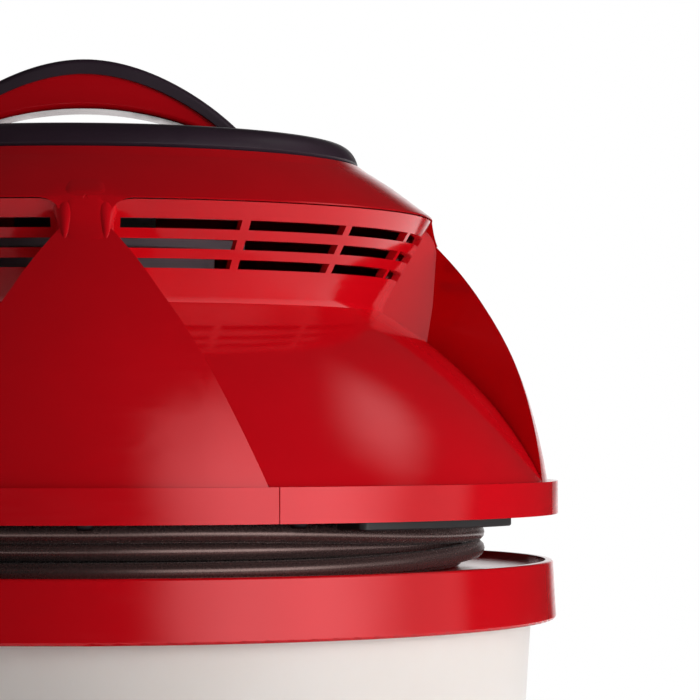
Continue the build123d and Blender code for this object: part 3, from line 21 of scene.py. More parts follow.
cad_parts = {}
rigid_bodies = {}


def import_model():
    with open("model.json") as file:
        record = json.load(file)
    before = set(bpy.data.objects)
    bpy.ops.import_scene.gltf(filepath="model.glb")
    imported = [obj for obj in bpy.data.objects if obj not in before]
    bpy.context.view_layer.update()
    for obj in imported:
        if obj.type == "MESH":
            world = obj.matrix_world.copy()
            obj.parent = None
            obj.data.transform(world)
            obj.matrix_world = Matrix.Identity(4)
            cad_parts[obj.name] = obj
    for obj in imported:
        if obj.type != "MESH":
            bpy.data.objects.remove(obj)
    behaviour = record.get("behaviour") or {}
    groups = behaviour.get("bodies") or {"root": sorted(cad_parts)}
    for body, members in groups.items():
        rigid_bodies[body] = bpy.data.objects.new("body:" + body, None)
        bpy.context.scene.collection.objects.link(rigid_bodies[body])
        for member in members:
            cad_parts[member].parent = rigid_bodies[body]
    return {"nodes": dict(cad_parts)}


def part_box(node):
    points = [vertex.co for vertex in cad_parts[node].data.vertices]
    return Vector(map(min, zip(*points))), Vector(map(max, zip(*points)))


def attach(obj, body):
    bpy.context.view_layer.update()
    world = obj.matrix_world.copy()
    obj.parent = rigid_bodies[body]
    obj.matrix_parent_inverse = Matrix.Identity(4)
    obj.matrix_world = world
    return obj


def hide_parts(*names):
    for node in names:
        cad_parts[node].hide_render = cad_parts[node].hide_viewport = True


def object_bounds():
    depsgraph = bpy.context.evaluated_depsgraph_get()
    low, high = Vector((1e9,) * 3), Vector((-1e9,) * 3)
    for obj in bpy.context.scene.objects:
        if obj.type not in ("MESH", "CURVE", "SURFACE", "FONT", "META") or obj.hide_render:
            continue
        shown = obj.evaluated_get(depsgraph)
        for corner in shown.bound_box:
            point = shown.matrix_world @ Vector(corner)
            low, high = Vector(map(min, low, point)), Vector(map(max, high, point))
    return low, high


for leftover in list(bpy.data.objects):
    bpy.data.objects.remove(leftover)
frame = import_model()
bpy.context.view_layer.update()
CAD_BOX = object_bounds()

LOG = logging.getLogger("shop_vacuum")
MM = 0.001
NOISE_MIDDLE = (0.3, 0.7)   # the values of a noise that a pattern is spread over
Point = tuple[float, float, float]
Pair = tuple[float, float]
Table = Sequence[Pair]
Rings = Sequence[Sequence[Vector]]
Tree = bpy.types.NodeTree
Node = bpy.types.Node
Socket = bpy.types.NodeSocket
Piece = bpy.types.Object
Material = bpy.types.Material
Constants = tuple[tuple[str, Any], ...]


def polar(radius: float, azimuth: float, height: float) -> Vector:
    """Point at a radius and an azimuth.

    Args:
        radius: Distance from the upright axis, mm.
        azimuth: Its azimuth, degrees.
        height: Height above the floor, mm.

    Returns:
        The point, in metres.
    """
    turn = math.radians(azimuth)
    return Vector((radius * math.sin(turn), -radius * math.cos(turn), height)) * MM


def along_rim(azimuth: float) -> Vector:
    """Direction along the rim, towards growing azimuth.

    Args:
        azimuth: Where on the rim.

    Returns:
        The unit vector.
    """
    turn = math.radians(azimuth)
    return Vector((math.cos(turn), math.sin(turn), 0.0))


def smoothstep(value: float, low: float, high: float) -> float:
    """Smooth rise between two places.

    Args:
        value: Where the share is wanted.
        low: Place where the rise starts.
        high: Place where the rise ends.

    Returns:
        0 up to low, 1 from high on.
    """
    share = min(max((value - low) / (high - low), 0.0), 1.0)
    return share * share * (3.0 - 2.0 * share)


def put(name: str, data: bpy.types.ID) -> Piece:
    """Makes an object and links it to the scene.

    Args:
        name: Name of the object.
        data: Its mesh, curve, lamp or camera.

    Returns:
        The piece.
    """
    piece = bpy.data.objects.new(name, data)
    bpy.context.scene.collection.objects.link(piece)
    return piece


# ------------------------------------------------------------------ node and colour helpers
def srgb(code: str) -> tuple[float, float, float, float]:
    """Linear colour of an sRGB hex code.

    Args:
        code: Six hex digits with a leading hash.

    Returns:
        Linear red, green, blue and an alpha of 1.
    """
    channels = [int(code[i:i + 2], 16) / 255.0 for i in (1, 3, 5)]
    linear = [c / 12.92 if c <= 0.04045 else ((c + 0.055) / 1.055) ** 2.4 for c in channels]
    return (linear[0], linear[1], linear[2], 1.0)


def add_node(tree: Tree, kind: str, settings: dict[str | int, Any] | None = None,
             links: dict[str | int, Socket] | None = None) -> Node:
    """Adds a node with its settings and links.

    Args:
        tree: Takes the node.
        kind: Blender's name of the node type.
        settings: Values by name, of a property of the node or of an input socket.
        links: Output sockets by the name or number of the input that they feed.

    Returns:
        The new node.
    """
    node = tree.nodes.new(kind)
    for name, value in (settings or {}).items():
        if isinstance(name, int) or name in node.inputs:
            node.inputs[name].default_value = value
        else:
            setattr(node, name, value)
    for name, source in (links or {}).items():
        tree.links.new(source, node.inputs[name])
    return node


def new_tree(owner: bpy.types.ID) -> Tree:
    """Gives a material, a world or a lamp an empty node tree.

    Args:
        owner: What takes the nodes.

    Returns:
        The empty tree.
    """
    owner.use_nodes = True
    owner.node_tree.nodes.clear()
    return owner.node_tree


def maths(tree: Tree, operation: str, *values: Socket) -> Socket:
    """Adds a calculation with one or two values.

    Args:
        tree: Takes the node.
        operation: Blender's name of the operation.
        values: Sockets that it works on.

    Returns:
        The result.
    """
    return add_node(tree, "ShaderNodeMath", {"operation": operation}, dict(enumerate(values))).outputs["Value"]


def remap(tree: Tree, source: Socket, span: Pair, result: Pair = (0.0, 1.0), curve: str = "SMOOTHSTEP") -> Socket:
    """Adds a value that runs over a range as another runs over its own.

    Args:
        tree: Takes the node.
        source: The other value.
        span: The other value at the start and at the end.
        result: The new value at the start and at the end.
        curve: Blender's name of the way in between.

    Returns:
        The new value.
    """
    return add_node(tree, "ShaderNodeMapRange", {
        "interpolation_type": curve, "From Min": span[0], "From Max": span[1], "To Min": result[0],
        "To Max": result[1]}, {"Value": source}).outputs["Result"]


def ramp(tree: Tree, factor: Socket, first: str, second: str, span: Pair = (0.0, 1.0)) -> Socket:
    """Adds a colour that runs from the first to the second.

    Args:
        tree: Takes the node.
        factor: Where along the way it is.
        first: sRGB hex colour at the start.
        second: sRGB hex colour at the end.
        span: Factor at the start and at the end.

    Returns:
        The colour.
    """
    node = add_node(tree, "ShaderNodeValToRGB", links={"Fac": factor})
    for element, place, colour in zip(node.color_ramp.elements, span, (first, second)):
        element.position = place
        element.color = srgb(colour)
    return node.outputs["Color"]


def relief(tree: Tree, shader: Node, height: Socket, depth: float, under: Socket | None = None) -> Socket:
    """Turns a height of a real depth into the shader's normal.

    Args:
        tree: Takes the nodes.
        shader: The surface shader.
        height: Height from 0 to 1.
        depth: Depth that a height of 1 stands for, mm.
        under: Normal of a relief that this one lies on.

    Returns:
        The normal.
    """
    links = {"Height": height} if under is None else {"Height": height, "Normal": under}
    normal = add_node(tree, "ShaderNodeBump", {"Strength": 1.0, "Distance": depth * MM}, links).outputs["Normal"]
    tree.links.new(normal, shader.inputs["Normal"])
    return normal


def hand_over(piece: Piece, body: str, slot: str, *nodes: str) -> Piece:
    """Attaches a piece to the body that it rides on and hides the CAD nodes that it stands for.

    Args:
        piece: The piece.
        body: Body that it moves with.
        slot: Material slot; not used.
        nodes: CAD nodes that it replaces.

    Returns:
        The piece.
    """
    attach(piece, body)
    if nodes:
        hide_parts(*nodes)
    LOG.info("%s: on %s, for %s", piece.name, body, ", ".join(nodes) or "no node")
    return piece


# ------------------------------------------------------------------ finishes
@dataclass(frozen=True)
class Grain:
    """Cloudy noise with a real size.

    Attributes:
        size: Size of the clouds, mm.
        detail: Octaves of finer noise.
        stretch: How many times finer the noise is along each axis.
        depth: Depth of the relief that it makes, mm.
    """

    size: float
    detail: float = 2.0
    stretch: Point = (1.0, 1.0, 1.0)
    depth: float = 0.0

    def factor(self, tree: Tree, place: Socket) -> Socket:
        """Adds the noise.

        Args:
            tree: Takes the nodes.
            place: Coordinates, metres.

        Returns:
            The factor, around 0.5.
        """
        scaled = add_node(tree, "ShaderNodeMapping", {"Scale": self.stretch}, {"Vector": place})
        return add_node(tree, "ShaderNodeTexNoise", {"Scale": 1.0 / (self.size * MM), "Detail": self.detail},
                        {"Vector": scaled.outputs["Vector"]}).outputs["Fac"]


@dataclass(frozen=True)
class SheetEdges(Grain):
    """Edges of stacked sheets: level lines of a real spacing.

    Attributes:
        waviness: How far the lines stray.
    """

    waviness: float = 0.4

    def factor(self, tree: Tree, place: Socket) -> Socket:
        """Adds the lines.

        Args:
            tree: Takes the node.
            place: Coordinates, metres.

        Returns:
            The factor, from 0 to 1.
        """
        return add_node(tree, "ShaderNodeTexWave", {
            "wave_type": "BANDS", "bands_direction": "Z", "Scale": math.pi / (20.0 * self.size * MM),
            "Distortion": self.waviness}, {"Vector": place}).outputs["Fac"]


PIGMENT_DRIFT = Grain(60.0, 3.0)


@dataclass(frozen=True)
class Finish:
    """What a surface is made of and how it was made.

    Attributes:
        name: Name of the material.
        colour: sRGB hex colour.
        shade: sRGB hex colour that the pigment drifts to.
        roughness: Middle of the roughness.
        ior: Index of refraction.
        metallic: 1 for a bare metal.
        level: Specular level, 0.5 for clear plastic.
        glow: sRGB hex colour of the reflection seen square on.
        skin: Relief of the surface.
        under: Coarser relief that the skin lies on.
        wear: Pattern of the gloss, where it isn't that of the skin.
        gloss: Least and most roughness as shares of the middle, or none for an even gloss.
        extras: Further constants of the shader, by the name of the socket.
    """

    name: str
    colour: str
    shade: str
    roughness: float
    ior: float = 1.5
    metallic: float = 0.0
    level: float = 0.5
    glow: str = "#FFFFFF"
    skin: Grain = Grain(1.0)
    under: Grain | None = None
    wear: Grain | None = None
    gloss: Pair | None = (0.85, 1.2)
    extras: Constants = ()

    def material(self) -> Material:
        """Builds the material the first time and finds it again after that.

        Returns:
            The material.
        """
        made = bpy.data.materials.get(self.name)
        if made is not None:
            return made
        made = bpy.data.materials.new(self.name)
        tree = new_tree(made)
        place = add_node(tree, "ShaderNodeTexCoord").outputs["Object"]
        tint = ramp(tree, PIGMENT_DRIFT.factor(tree, place), self.colour, self.shade, NOISE_MIDDLE)
        shader = add_node(tree, "ShaderNodeBsdfPrincipled", {
            "Roughness": self.roughness, "IOR": self.ior, "Metallic": self.metallic,
            "Specular IOR Level": self.level, "Specular Tint": srgb(self.glow), **dict(self.extras)},
            {"Base Color": tint})
        add_node(tree, "ShaderNodeOutputMaterial", links={"Surface": shader.outputs["BSDF"]})
        below = None
        if self.under is not None:
            below = relief(tree, shader, self.under.factor(tree, place), self.under.depth)
        skin = self.skin.factor(tree, place)
        relief(tree, shader, skin, self.skin.depth, below)
        if self.gloss is not None:
            marks = skin if self.wear is None else self.wear.factor(tree, place)
            least, most = (self.roughness * share for share in self.gloss)
            tree.links.new(remap(tree, marks, NOISE_MIDDLE, (least, most), "LINEAR"), shader.inputs["Roughness"])
        return made


@dataclass(frozen=True)
class PolishedMoulding(Finish):
    """Plastic from a polished mould: mirror gloss with a trace of orange peel and wiping marks."""

    skin: Grain = Grain(9.0, 1.0, depth=0.002)
    wear: Grain | None = Grain(1.6, 2.0, (0.05, 0.05, 1.0))
    gloss: Pair | None = (0.8, 1.35)


@dataclass(frozen=True)
class GrainedMoulding(Finish):
    """Plastic from a spark-eroded mould: an even, fine, satin grain with a handling gloss."""

    skin: Grain = Grain(0.9, depth=0.03)
    wear: Grain | None = Grain(25.0, 3.0)


@dataclass(frozen=True)
class SoftCompound(Finish):
    """Rubber or soft PVC: a matt, pored skin with a dusty bloom at grazing angles."""

    skin: Grain = Grain(0.7, 3.0, depth=0.03)
    gloss: Pair | None = (0.85, 1.15)
    extras: Constants = (("Sheen Weight", 0.25), ("Sheen Roughness", 0.5))


TOOL_LINES = (1.0, 1.0, 8.0)


@dataclass(frozen=True)
class DrawnMetal(Finish):
    """Drawn, turned or stamped metal with fine tool lines along one axis."""

    metallic: float = 1.0
    skin: Grain = Grain(4.0, 3.0, TOOL_LINES, 0.004)
    gloss: Pair | None = (0.7, 1.3)


MELT_LINES = (1.0, 1.0, 0.18)


# Injection-moulded ABS in a signal red, from polished moulds: deep colour under a wet-looking gloss.
RED_ABS = PolishedMoulding("gloss_red_abs", "#D40716", "#CC0714", 0.12, ior=1.65, glow="#FF9B9F", level=1.0)
# The same ABS for the vent covers, painted a touch brighter all over: painted light.
RED_COVER_ABS_PAINTED_LIGHT = PolishedMoulding("gloss_red_abs_cover_painted_light", "#D80818", "#CF0816", 0.11, ior=1.65,
                                 glow="#FF9B9F", level=1.0)
# Aubergine-grey ABS from a finely eroded mould: satin, so that a window shows only as a pale haze.
DARK_ABS = GrainedMoulding("satin_aubergine_abs", "#33232F", "#2C1E29", 0.36)
# Black ABS of the base, the spool and the clips, with a coarser grain that hides scuffs.
BLACK_ABS = GrainedMoulding("grained_black_abs", "#1C191B", "#151315", 0.42, ior=1.53,
                            skin=Grain(1.1, depth=0.03))
# Deep red polycarbonate of the rocker, glossy from thumbs.
ROCKER_PLASTIC = PolishedMoulding("gloss_rocker_polycarbonate", "#8E0B14", "#7E0910", 0.16, ior=1.58)
# Glass-filled nylon of the motor's housings: dull, with pale streaks of fibre. Its colour is painted lighter than the
# real dark grey: painted light for the light that reaches the motor through the louvres.
MOTOR_NYLON_PAINTED_LIGHT = GrainedMoulding("glass_filled_nylon_painted_light", "#9C8A93", "#907E87", 0.55, ior=1.53,
                              skin=Grain(1.4, depth=0.03))
# Nylon wheels and forks: waxy black with a soft shine.
CASTER_NYLON = GrainedMoulding("cast_nylon", "#242325", "#1B1A1C", 0.38, ior=1.53,
                               skin=Grain(1.6, depth=0.03))
# Natural polypropylene, blow-moulded: light sinks a little way in, and the melt leaves faint flow lines.
TANK_POLYPROPYLENE = Finish("natural_polypropylene", "#EDE6E1", "#EAE2DC", 0.3, ior=1.49,
                            skin=Grain(1.2, depth=0.006), under=Grain(14.0, 3.0, MELT_LINES, 0.001),
                            wear=Grain(14.0, 3.0, MELT_LINES), gloss=(0.96, 1.05),
                            extras=(("Subsurface Weight", 0.22), ("Subsurface Radius", (1.0, 0.9, 0.8)),
                                    ("Subsurface Scale", 3.0 * MM)))
# EPDM rubber of the gaskets: black, matt, faintly grey where it is stretched.
SEAL_RUBBER = SoftCompound("epdm_rubber", "#191818", "#211F1F", 0.7, ior=1.52)
# Soft PVC sheath of the mains cord: brown-grey, with a low satin shine along its length.
CORD_PVC = SoftCompound("soft_pvc_sheath", "#4E3A39", "#463433", 0.27, ior=1.75, level=1.0, glow="#FFD8D0",
                        skin=Grain(1.2, 3.0, depth=0.002),
                        extras=(("Sheen Weight", 0.05), ("Sheen Roughness", 0.5)))
# Bright drawn steel of the pins, shafts and axles.
AXLE_STEEL = DrawnMetal("bright_drawn_steel", "#B9B9BC", "#A9A9AE", 0.25)
# Zinc-plated steel screws: bluish, a little cloudy.
SCREW_STEEL = DrawnMetal("zinc_plated_steel", "#A7A9AE", "#95989E", 0.33,
                         skin=Grain(7.2, 3.0, TOOL_LINES, 0.004))
# The same zinc-plated screws painted dark: painted shade, where they sit under the dome.
SCREW_STEEL_PAINTED_SHADE = DrawnMetal("zinc_steel_painted_shade", "#333336", "#2B2B2E", 0.5,
                         skin=Grain(7.2, 3.0, TOOL_LINES, 0.004))
# Varnished steel of the motor core: edges of stacked sheet, twice the real 0.5 mm apart so that they show.
CORE_STEEL = Finish("varnished_core_steel", "#6B5A4C", "#594A3F", 0.4, metallic=1.0,
                    skin=SheetEdges(1.0, depth=0.08), gloss=None)
# Stamped brass of the plug's blades.
PLUG_BRASS = DrawnMetal("stamped_brass", "#D9B876", "#C9A560", 0.22,
                        skin=Grain(3.2, 3.0, TOOL_LINES, 0.004))
# Cellulose filter paper, resin stiffened: matt, with long fibres pressed into a felt.
FILTER_PAPER = Finish("pleated_filter_paper", "#DCD6C4", "#CFC8B4", 0.85, ior=1.45,
                      skin=Grain(0.8, 4.0, (1.0, 1.0, 0.35), 0.06), gloss=None)
Dress = tuple[tuple[str, Finish, float], ...]


# ------------------------------------------------------------------ mesh helpers
def mesh_object(name: str, build: Callable[[bmesh.types.BMesh], Any], finish: Finish | None = None) -> Piece:
    """Makes a smooth-shaded mesh object.

    Args:
        name: Name of the piece.
        build: Function that fills the mesh, in metres.
        finish: Its finish, where it has one.

    Returns:
        The piece.
    """
    shape = bmesh.new()
    build(shape)
    bmesh.ops.remove_doubles(shape, verts=shape.verts, dist=0.002 * MM)
    bmesh.ops.recalc_face_normals(shape, faces=shape.faces)
    data = bpy.data.meshes.new(name)
    shape.to_mesh(data)
    shape.free()
    data.shade_smooth()
    if finish is not None:
        data.materials.append(finish.material())
    return put(name, data)


def place_on(origin: Vector, axis: Vector, across: Vector) -> Matrix:
    """Matrix that takes local Z to an axis and local X to a direction square to it.

    Args:
        origin: Where the local origin goes, in metres.
        axis: Direction of local Z.
        across: Direction of local X.

    Returns:
        The placing matrix.
    """
    columns = (across, axis.cross(across), axis, origin)
    return Matrix([[column[k] for column in columns] for k in range(3)] + [[0.0, 0.0, 0.0, 1.0]])


def skin_rings(shape: bmesh.types.BMesh, rings: Rings, first: bool = True,
               last: bool = True) -> list[list[bmesh.types.BMVert]]:
    """Joins closed rings of equal length by quads.

    Args:
        shape: Takes the faces.
        rings: Points of each ring, in order.
        first: Whether the first ring is closed.
        last: Whether the last ring is closed.

    Returns:
        The corners of each ring.
    """
    made = [[shape.verts.new(point) for point in ring] for ring in rings]
    for lower, upper in zip(made, made[1:]):
        for k, start in enumerate(lower):
            following = (k + 1) % len(lower)
            shape.faces.new((start, lower[following], upper[following], upper[k]))
    if first:
        shape.faces.new(list(reversed(made[0])))
    if last:
        shape.faces.new(made[-1])
    return made


def turned_rings(profile: Table, matrix: Matrix, segments: int = 32) -> list[list[Vector]]:
    """Rings of a turned shape.

    Args:
        profile: Distance along the axis and radius of each ring, mm.
        matrix: Placing matrix of the axis.
        segments: Points in a ring.

    Returns:
        One ring of points for each entry of the profile.
    """
    turns = [2.0 * math.pi * k / segments for k in range(segments)]
    return [[matrix @ (Vector((radius * math.cos(t), radius * math.sin(t), along)) * MM) for t in turns]
            for along, radius in profile]


def soften(piece: Piece, width: float, angle: float = 35.0, segments: int = 2) -> None:
    """Rounds the sharp edges of a piece with a modifier, which leaves its mesh alone.

    Args:
        piece: A CAD node or a new piece.
        width: Width of the rounding, mm.
        angle: Edges that turn by more than this many degrees are rounded.
        segments: Facets of the rounding.
    """
    weld = piece.modifiers.new("weld_seams", "WELD")
    weld.merge_threshold = 0.004 * MM
    rounding = piece.modifiers.new("edge_rounding", "BEVEL")
    rounding.width = width * MM
    rounding.segments = segments
    rounding.limit_method = "ANGLE"
    rounding.angle_limit = math.radians(angle)
    piece.modifiers.new("even_shading", "WEIGHTED_NORMAL")


def eased(table: Table, place: float) -> float:
    """Smooth curve through the entries of a table, level beyond its ends.

    Args:
        table: Place and value of each entry, in order of place.
        place: Where the value is wanted.

    Returns:
        The value at the place.
    """
    if place <= table[0][0]:
        return table[0][1]
    if place >= table[-1][0]:
        return table[-1][1]
    k = next(k for k in range(len(table) - 1) if place < table[k + 1][0])
    slopes = []
    for n in (k, k + 1):
        before, after = table[max(n - 1, 0)], table[min(n + 1, len(table) - 1)]
        slopes.append((after[1] - before[1]) / (after[0] - before[0]))
    (start, low), (end, high) = table[k], table[k + 1]
    span = end - start
    t = (place - start) / span
    return ((2 * t ** 3 - 3 * t ** 2 + 1) * low + (t ** 3 - 2 * t ** 2 + t) * span * slopes[0]
            + (3 * t ** 2 - 2 * t ** 3) * high + (t ** 3 - t ** 2) * span * slopes[1])


@dataclass(frozen=True)
class CrownForm:
    """Fuller form of the dome and its cap: a moulding's mesh is redrawn a few millimetres higher and wider.

    Attributes:
        lift: Height on the CAD solid and rise of the feature there, mm.
        growth: Height after the lift and growth of the radius there, mm.
        dome: Height and radius of the CAD solid's outside, mm.
        rim: Shares of the outside radius where the widening begins and is full.
        cap_lift: Radius and rise of the edge of the cap plate, mm.
        cap_crown: Heights where the cap plate's foot ends and its crown begins, mm.
        cap_rise: Rise of the foot of the cap plate, mm.
        cap_slope: Length over which its edge widens by 1 mm, mm.
    """

    lift: Table = (
        (258.5, 0.0), (270.5, 1.7), (300.0, 2.2), (343.0, 2.8), (371.0, 3.8), (377.0, 5.2), (388.0, 3.4), (400.5, 1.1),
        (403.4, 1.1))
    growth: Table = (
        (272.2, 0.0), (290.0, -0.2), (320.0, 0.1), (343.0, 0.5), (353.0, 1.2), (363.0, 1.9), (371.0, 2.2),
        (382.0, 2.9), (391.6, 3.3), (396.0, 3.5), (401.0, 2.6), (404.5, 1.0))
    dome: Table = (
        (258.5, 200.8), (270.5, 196.3), (290.0, 192.5), (310.0, 186.5), (330.0, 177.3), (350.0, 164.1), (368.0, 148.8),
        (382.0, 136.0), (394.0, 124.8), (403.4, 116.0))
    rim: Pair = (0.7, 0.98)
    cap_crown: Pair = (400.5, 403.0)
    cap_rise: float = 1.1
    cap_slope: float = 18.0
    cap_lift: Table = ((97.0, 0.0), (104.0, 0.5), (110.0, 1.8), (115.0, 3.1))

    def dome_point(self, spot: Vector) -> Vector:
        """Moves a point of the hood or a vent cover.

        Args:
            spot: Point of the CAD solid, in metres.

        Returns:
            The moved point, in metres.
        """
        radius, height = math.hypot(spot.x, spot.y) / MM, spot.z / MM
        raised = height + eased(self.lift, height)
        share = smoothstep(radius / eased(self.dome, height), *self.rim)
        grown = (radius + share * eased(self.growth, raised)) / radius
        return Vector((spot.x * grown, spot.y * grown, raised * MM))

    def cap_point(self, spot: Vector) -> Vector:
        """Moves a point of the cap plate: flat crown, straight slope and a low upright edge.

        Args:
            spot: Point of the CAD solid, in metres.

        Returns:
            The moved point, in metres.
        """
        radius, height = math.hypot(spot.x, spot.y) / MM, spot.z / MM
        start = self.cap_lift[0][0]
        if radius < start:
            return spot.copy()
        crown = smoothstep(height, *self.cap_crown)
        rise = eased(self.cap_lift, radius) * crown + self.cap_rise * (1.0 - crown)
        grown = 1.0 + (radius - start) / self.cap_slope / radius
        return Vector((spot.x * grown, spot.y * grown, (height + rise) * MM))

    def redraw(self, name: str, finish: Finish, slot: str, width: float,
               move: Callable[[Vector], Vector]) -> Piece:
        """Makes a fuller copy of a moulding in place of its CAD node.

        Args:
            name: CAD node.
            finish: Finish of the moulding.
            slot: Material slot of the moulding.
            width: Rounding of its sharp edges, mm.
            move: Function that moves a point.

        Returns:
            The new piece.
        """
        data = frame["nodes"][name].data.copy()
        for vertex in data.vertices:
            vertex.co = move(vertex.co)
        data.materials.clear()
        data.materials.append(finish.material())
        piece = put(f"{name}_moulding", data)
        soften(piece, width)
        return hand_over(piece, "head", slot, name)


# ------------------------------------------------------------------ sub-assemblies
@dataclass
class SubAssembly:
    """A group of mouldings that are fitted together.

    Attributes:
        nodes: Name, finish and rounding of sharp edges (mm, 0 for none) of each CAD node.
    """

    nodes: Dress = ()

    def dress(self) -> None:
        """Gives each CAD node its finish and rounds its edges."""
        for name, finish, width in self.nodes:
            piece = frame["nodes"][name]
            piece.data.materials.clear()
            piece.data.materials.append(finish.material())
            if width:
                soften(piece, width)
            LOG.info("%s: %s", name, finish.name)

    def drive_up(self, node: str, body: str, places: Table, shank: float, finish: Finish = SCREW_STEEL) -> None:
        """Adds screws that are driven upwards.

        Args:
            node: CAD node of the plain screws.
            body: Body that they ride on.
            places: Radius in mm and azimuth of each.
            shank: Length under the heads, mm.
            finish: Finish of the screws.
        """
        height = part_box(node)[0].z / MM + ScrewSet.head_height
        seats = [polar(radius, azimuth, height) for radius, azimuth in places]
        ScrewSet(node, body, seats, Vector((0, 0, -1)), shank, finish).make()

    def build(self) -> None:
        """Adds the pieces that CAD leaves plain."""

    def make(self) -> None:
        """Dresses the CAD nodes and adds the pieces."""
        self.dress()
        self.build()


@dataclass
class ScrewSet:
    """Pan-head screws that stand for one CAD node.

    Attributes:
        node: CAD node of the plain screws.
        body: Body that they ride on.
        seats: Point under each head, in metres.
        outward: Direction that the heads face.
        shank_length: Length under the head, mm.
        finish: Finish of the screws.
        head_radius: Radius of a head, mm.
        head_height: Height of a head, mm.
        shank_radius: Radius of the shank, mm.
        crown: Height and radius of the head's outline, as shares of its own.
        recess: Height and width of the cross recess at its mouth and floor, as shares.
        arm: Reach and half width of an arm of the recess, as shares of the head's radius.
    """

    node: str
    body: str
    seats: list[Vector]
    outward: Vector
    shank_length: float
    finish: Finish = SCREW_STEEL
    head_radius: float = 3.6
    head_height: float = 2.4
    shank_radius: float = 2.0
    crown: Table = ((0.0, 1.0), (0.35, 1.0), (0.75, 0.93), (1.0, 0.78))
    recess: Table = ((1.0, 1.0), (0.3, 0.7))
    arm: Pair = (0.62, 0.14)

    def recess_outline(self) -> list[Pair]:
        """Outline of the cross recess.

        Returns:
            Its corners in order round the head, mm.
        """
        reach, half = (self.head_radius * share for share in self.arm)
        corners = []
        for k in range(4):
            turn = Matrix.Rotation(math.radians(90 * k), 2)
            corners += [tuple(turn @ Vector(corner)) for corner in ((reach, -half), (reach, half), (half, half))]
        return corners

    def build_one(self, shape: bmesh.types.BMesh, matrix: Matrix) -> None:
        """Adds one screw: shank, crowned head and sunk recess.

        Args:
            shape: Mesh that takes the screw.
            matrix: Placing matrix with its origin under the head and Z outward.
        """
        radius, height = self.head_radius, self.head_height
        tip = (-self.shank_length, self.shank_radius * 0.7)
        profile = [tip, (1.0 - self.shank_length, self.shank_radius), (0.0, self.shank_radius)]
        profile += [(height * up, radius * out) for up, out in self.crown]
        crown = skin_rings(shape, turned_rings(profile, matrix, 24), last=False)[-1]
        recess = [[matrix @ (Vector((x * share, y * share, height * level)) * MM) for x, y in self.recess_outline()]
                  for level, share in self.recess]
        mouth = skin_rings(shape, recess, first=False)[0]
        rim = [shape.edges.get((ring[k], ring[(k + 1) % len(ring)])) for ring in (crown, mouth)
               for k in range(len(ring))]
        bmesh.ops.triangle_fill(shape, edges=rim, use_beauty=True)

    def make(self) -> Piece:
        """Builds the screws as one piece in place of the CAD node.

        Returns:
            The piece.
        """
        across = self.outward.orthogonal().normalized()
        places = [place_on(seat, self.outward, across) for seat in self.seats]
        piece = mesh_object(f"{self.node}_driven", lambda shape: [self.build_one(shape, place) for place in places],
                            self.finish)
        soften(piece, 0.15, angle=50.0, segments=1)
        return hand_over(piece, self.body, "screw_steel", self.node)


@dataclass
class RunningGear(SubAssembly):
    """Wheel base and its four casters.

    Attributes:
        screws: Radius and azimuth of each screw of the base.
    """

    nodes: Dress = (
        ("wheel_base", BLACK_ABS, 0.7),
        *((f"{name}_{k}", finish, width) for k in range(1, 5) for name, finish, width in (
            ("caster_fork", CASTER_NYLON, 0.5), ("caster_wheels", CASTER_NYLON, 0.0),
            ("caster_axle", AXLE_STEEL, 0.4))))
    screws: Table = tuple((95.0, turn) for turn in (0.0, 90.0, 180.0, 270.0))

    def build(self) -> None:
        """Adds the screws that hold the base to the tank."""
        self.drive_up("base_screws", "tank_body", self.screws, 8.0)


@dataclass
class Tank(SubAssembly):
    """Dust tank with its hose socket.

    Attributes:
        screw_circle: Radius of the circle of the socket's screws, mm.
        screw_turns: Where each screw is, degrees round the socket from +X.
    """

    nodes: Dress = (
        ("tank", TANK_POLYPROPYLENE, 0.8), ("tank_gasket", SEAL_RUBBER, 0.5), ("hose_socket", BLACK_ABS, 0.6),
        ("socket_seal", SEAL_RUBBER, 0.0))
    screw_circle: float = 30.5
    screw_turns: tuple[float, ...] = (30.0, 150.0, 270.0)

    def build(self) -> None:
        """Adds the screws in the face of the hose socket."""
        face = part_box("socket_screws")[0].y + ScrewSet.head_height * MM
        middle = sum(corner.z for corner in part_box("hose_socket")) / 2.0
        reach = self.screw_circle * MM
        seats = [Vector((reach * math.cos(turn), face, middle + reach * math.sin(turn)))
                 for turn in map(math.radians, self.screw_turns)]
        ScrewSet("socket_screws", "tank_body", seats, Vector((0, -1, 0)), 10.0).make()


@dataclass
class CarrierRing(SubAssembly):
    """Red ring that closes the tank, with its two clips."""

    nodes: Dress = (
        ("base_ring", RED_ABS, 0.5), ("latch_right", BLACK_ABS, 0.6), ("latch_left", BLACK_ABS, 0.6),
        ("latch_pins", AXLE_STEEL, 0.3))


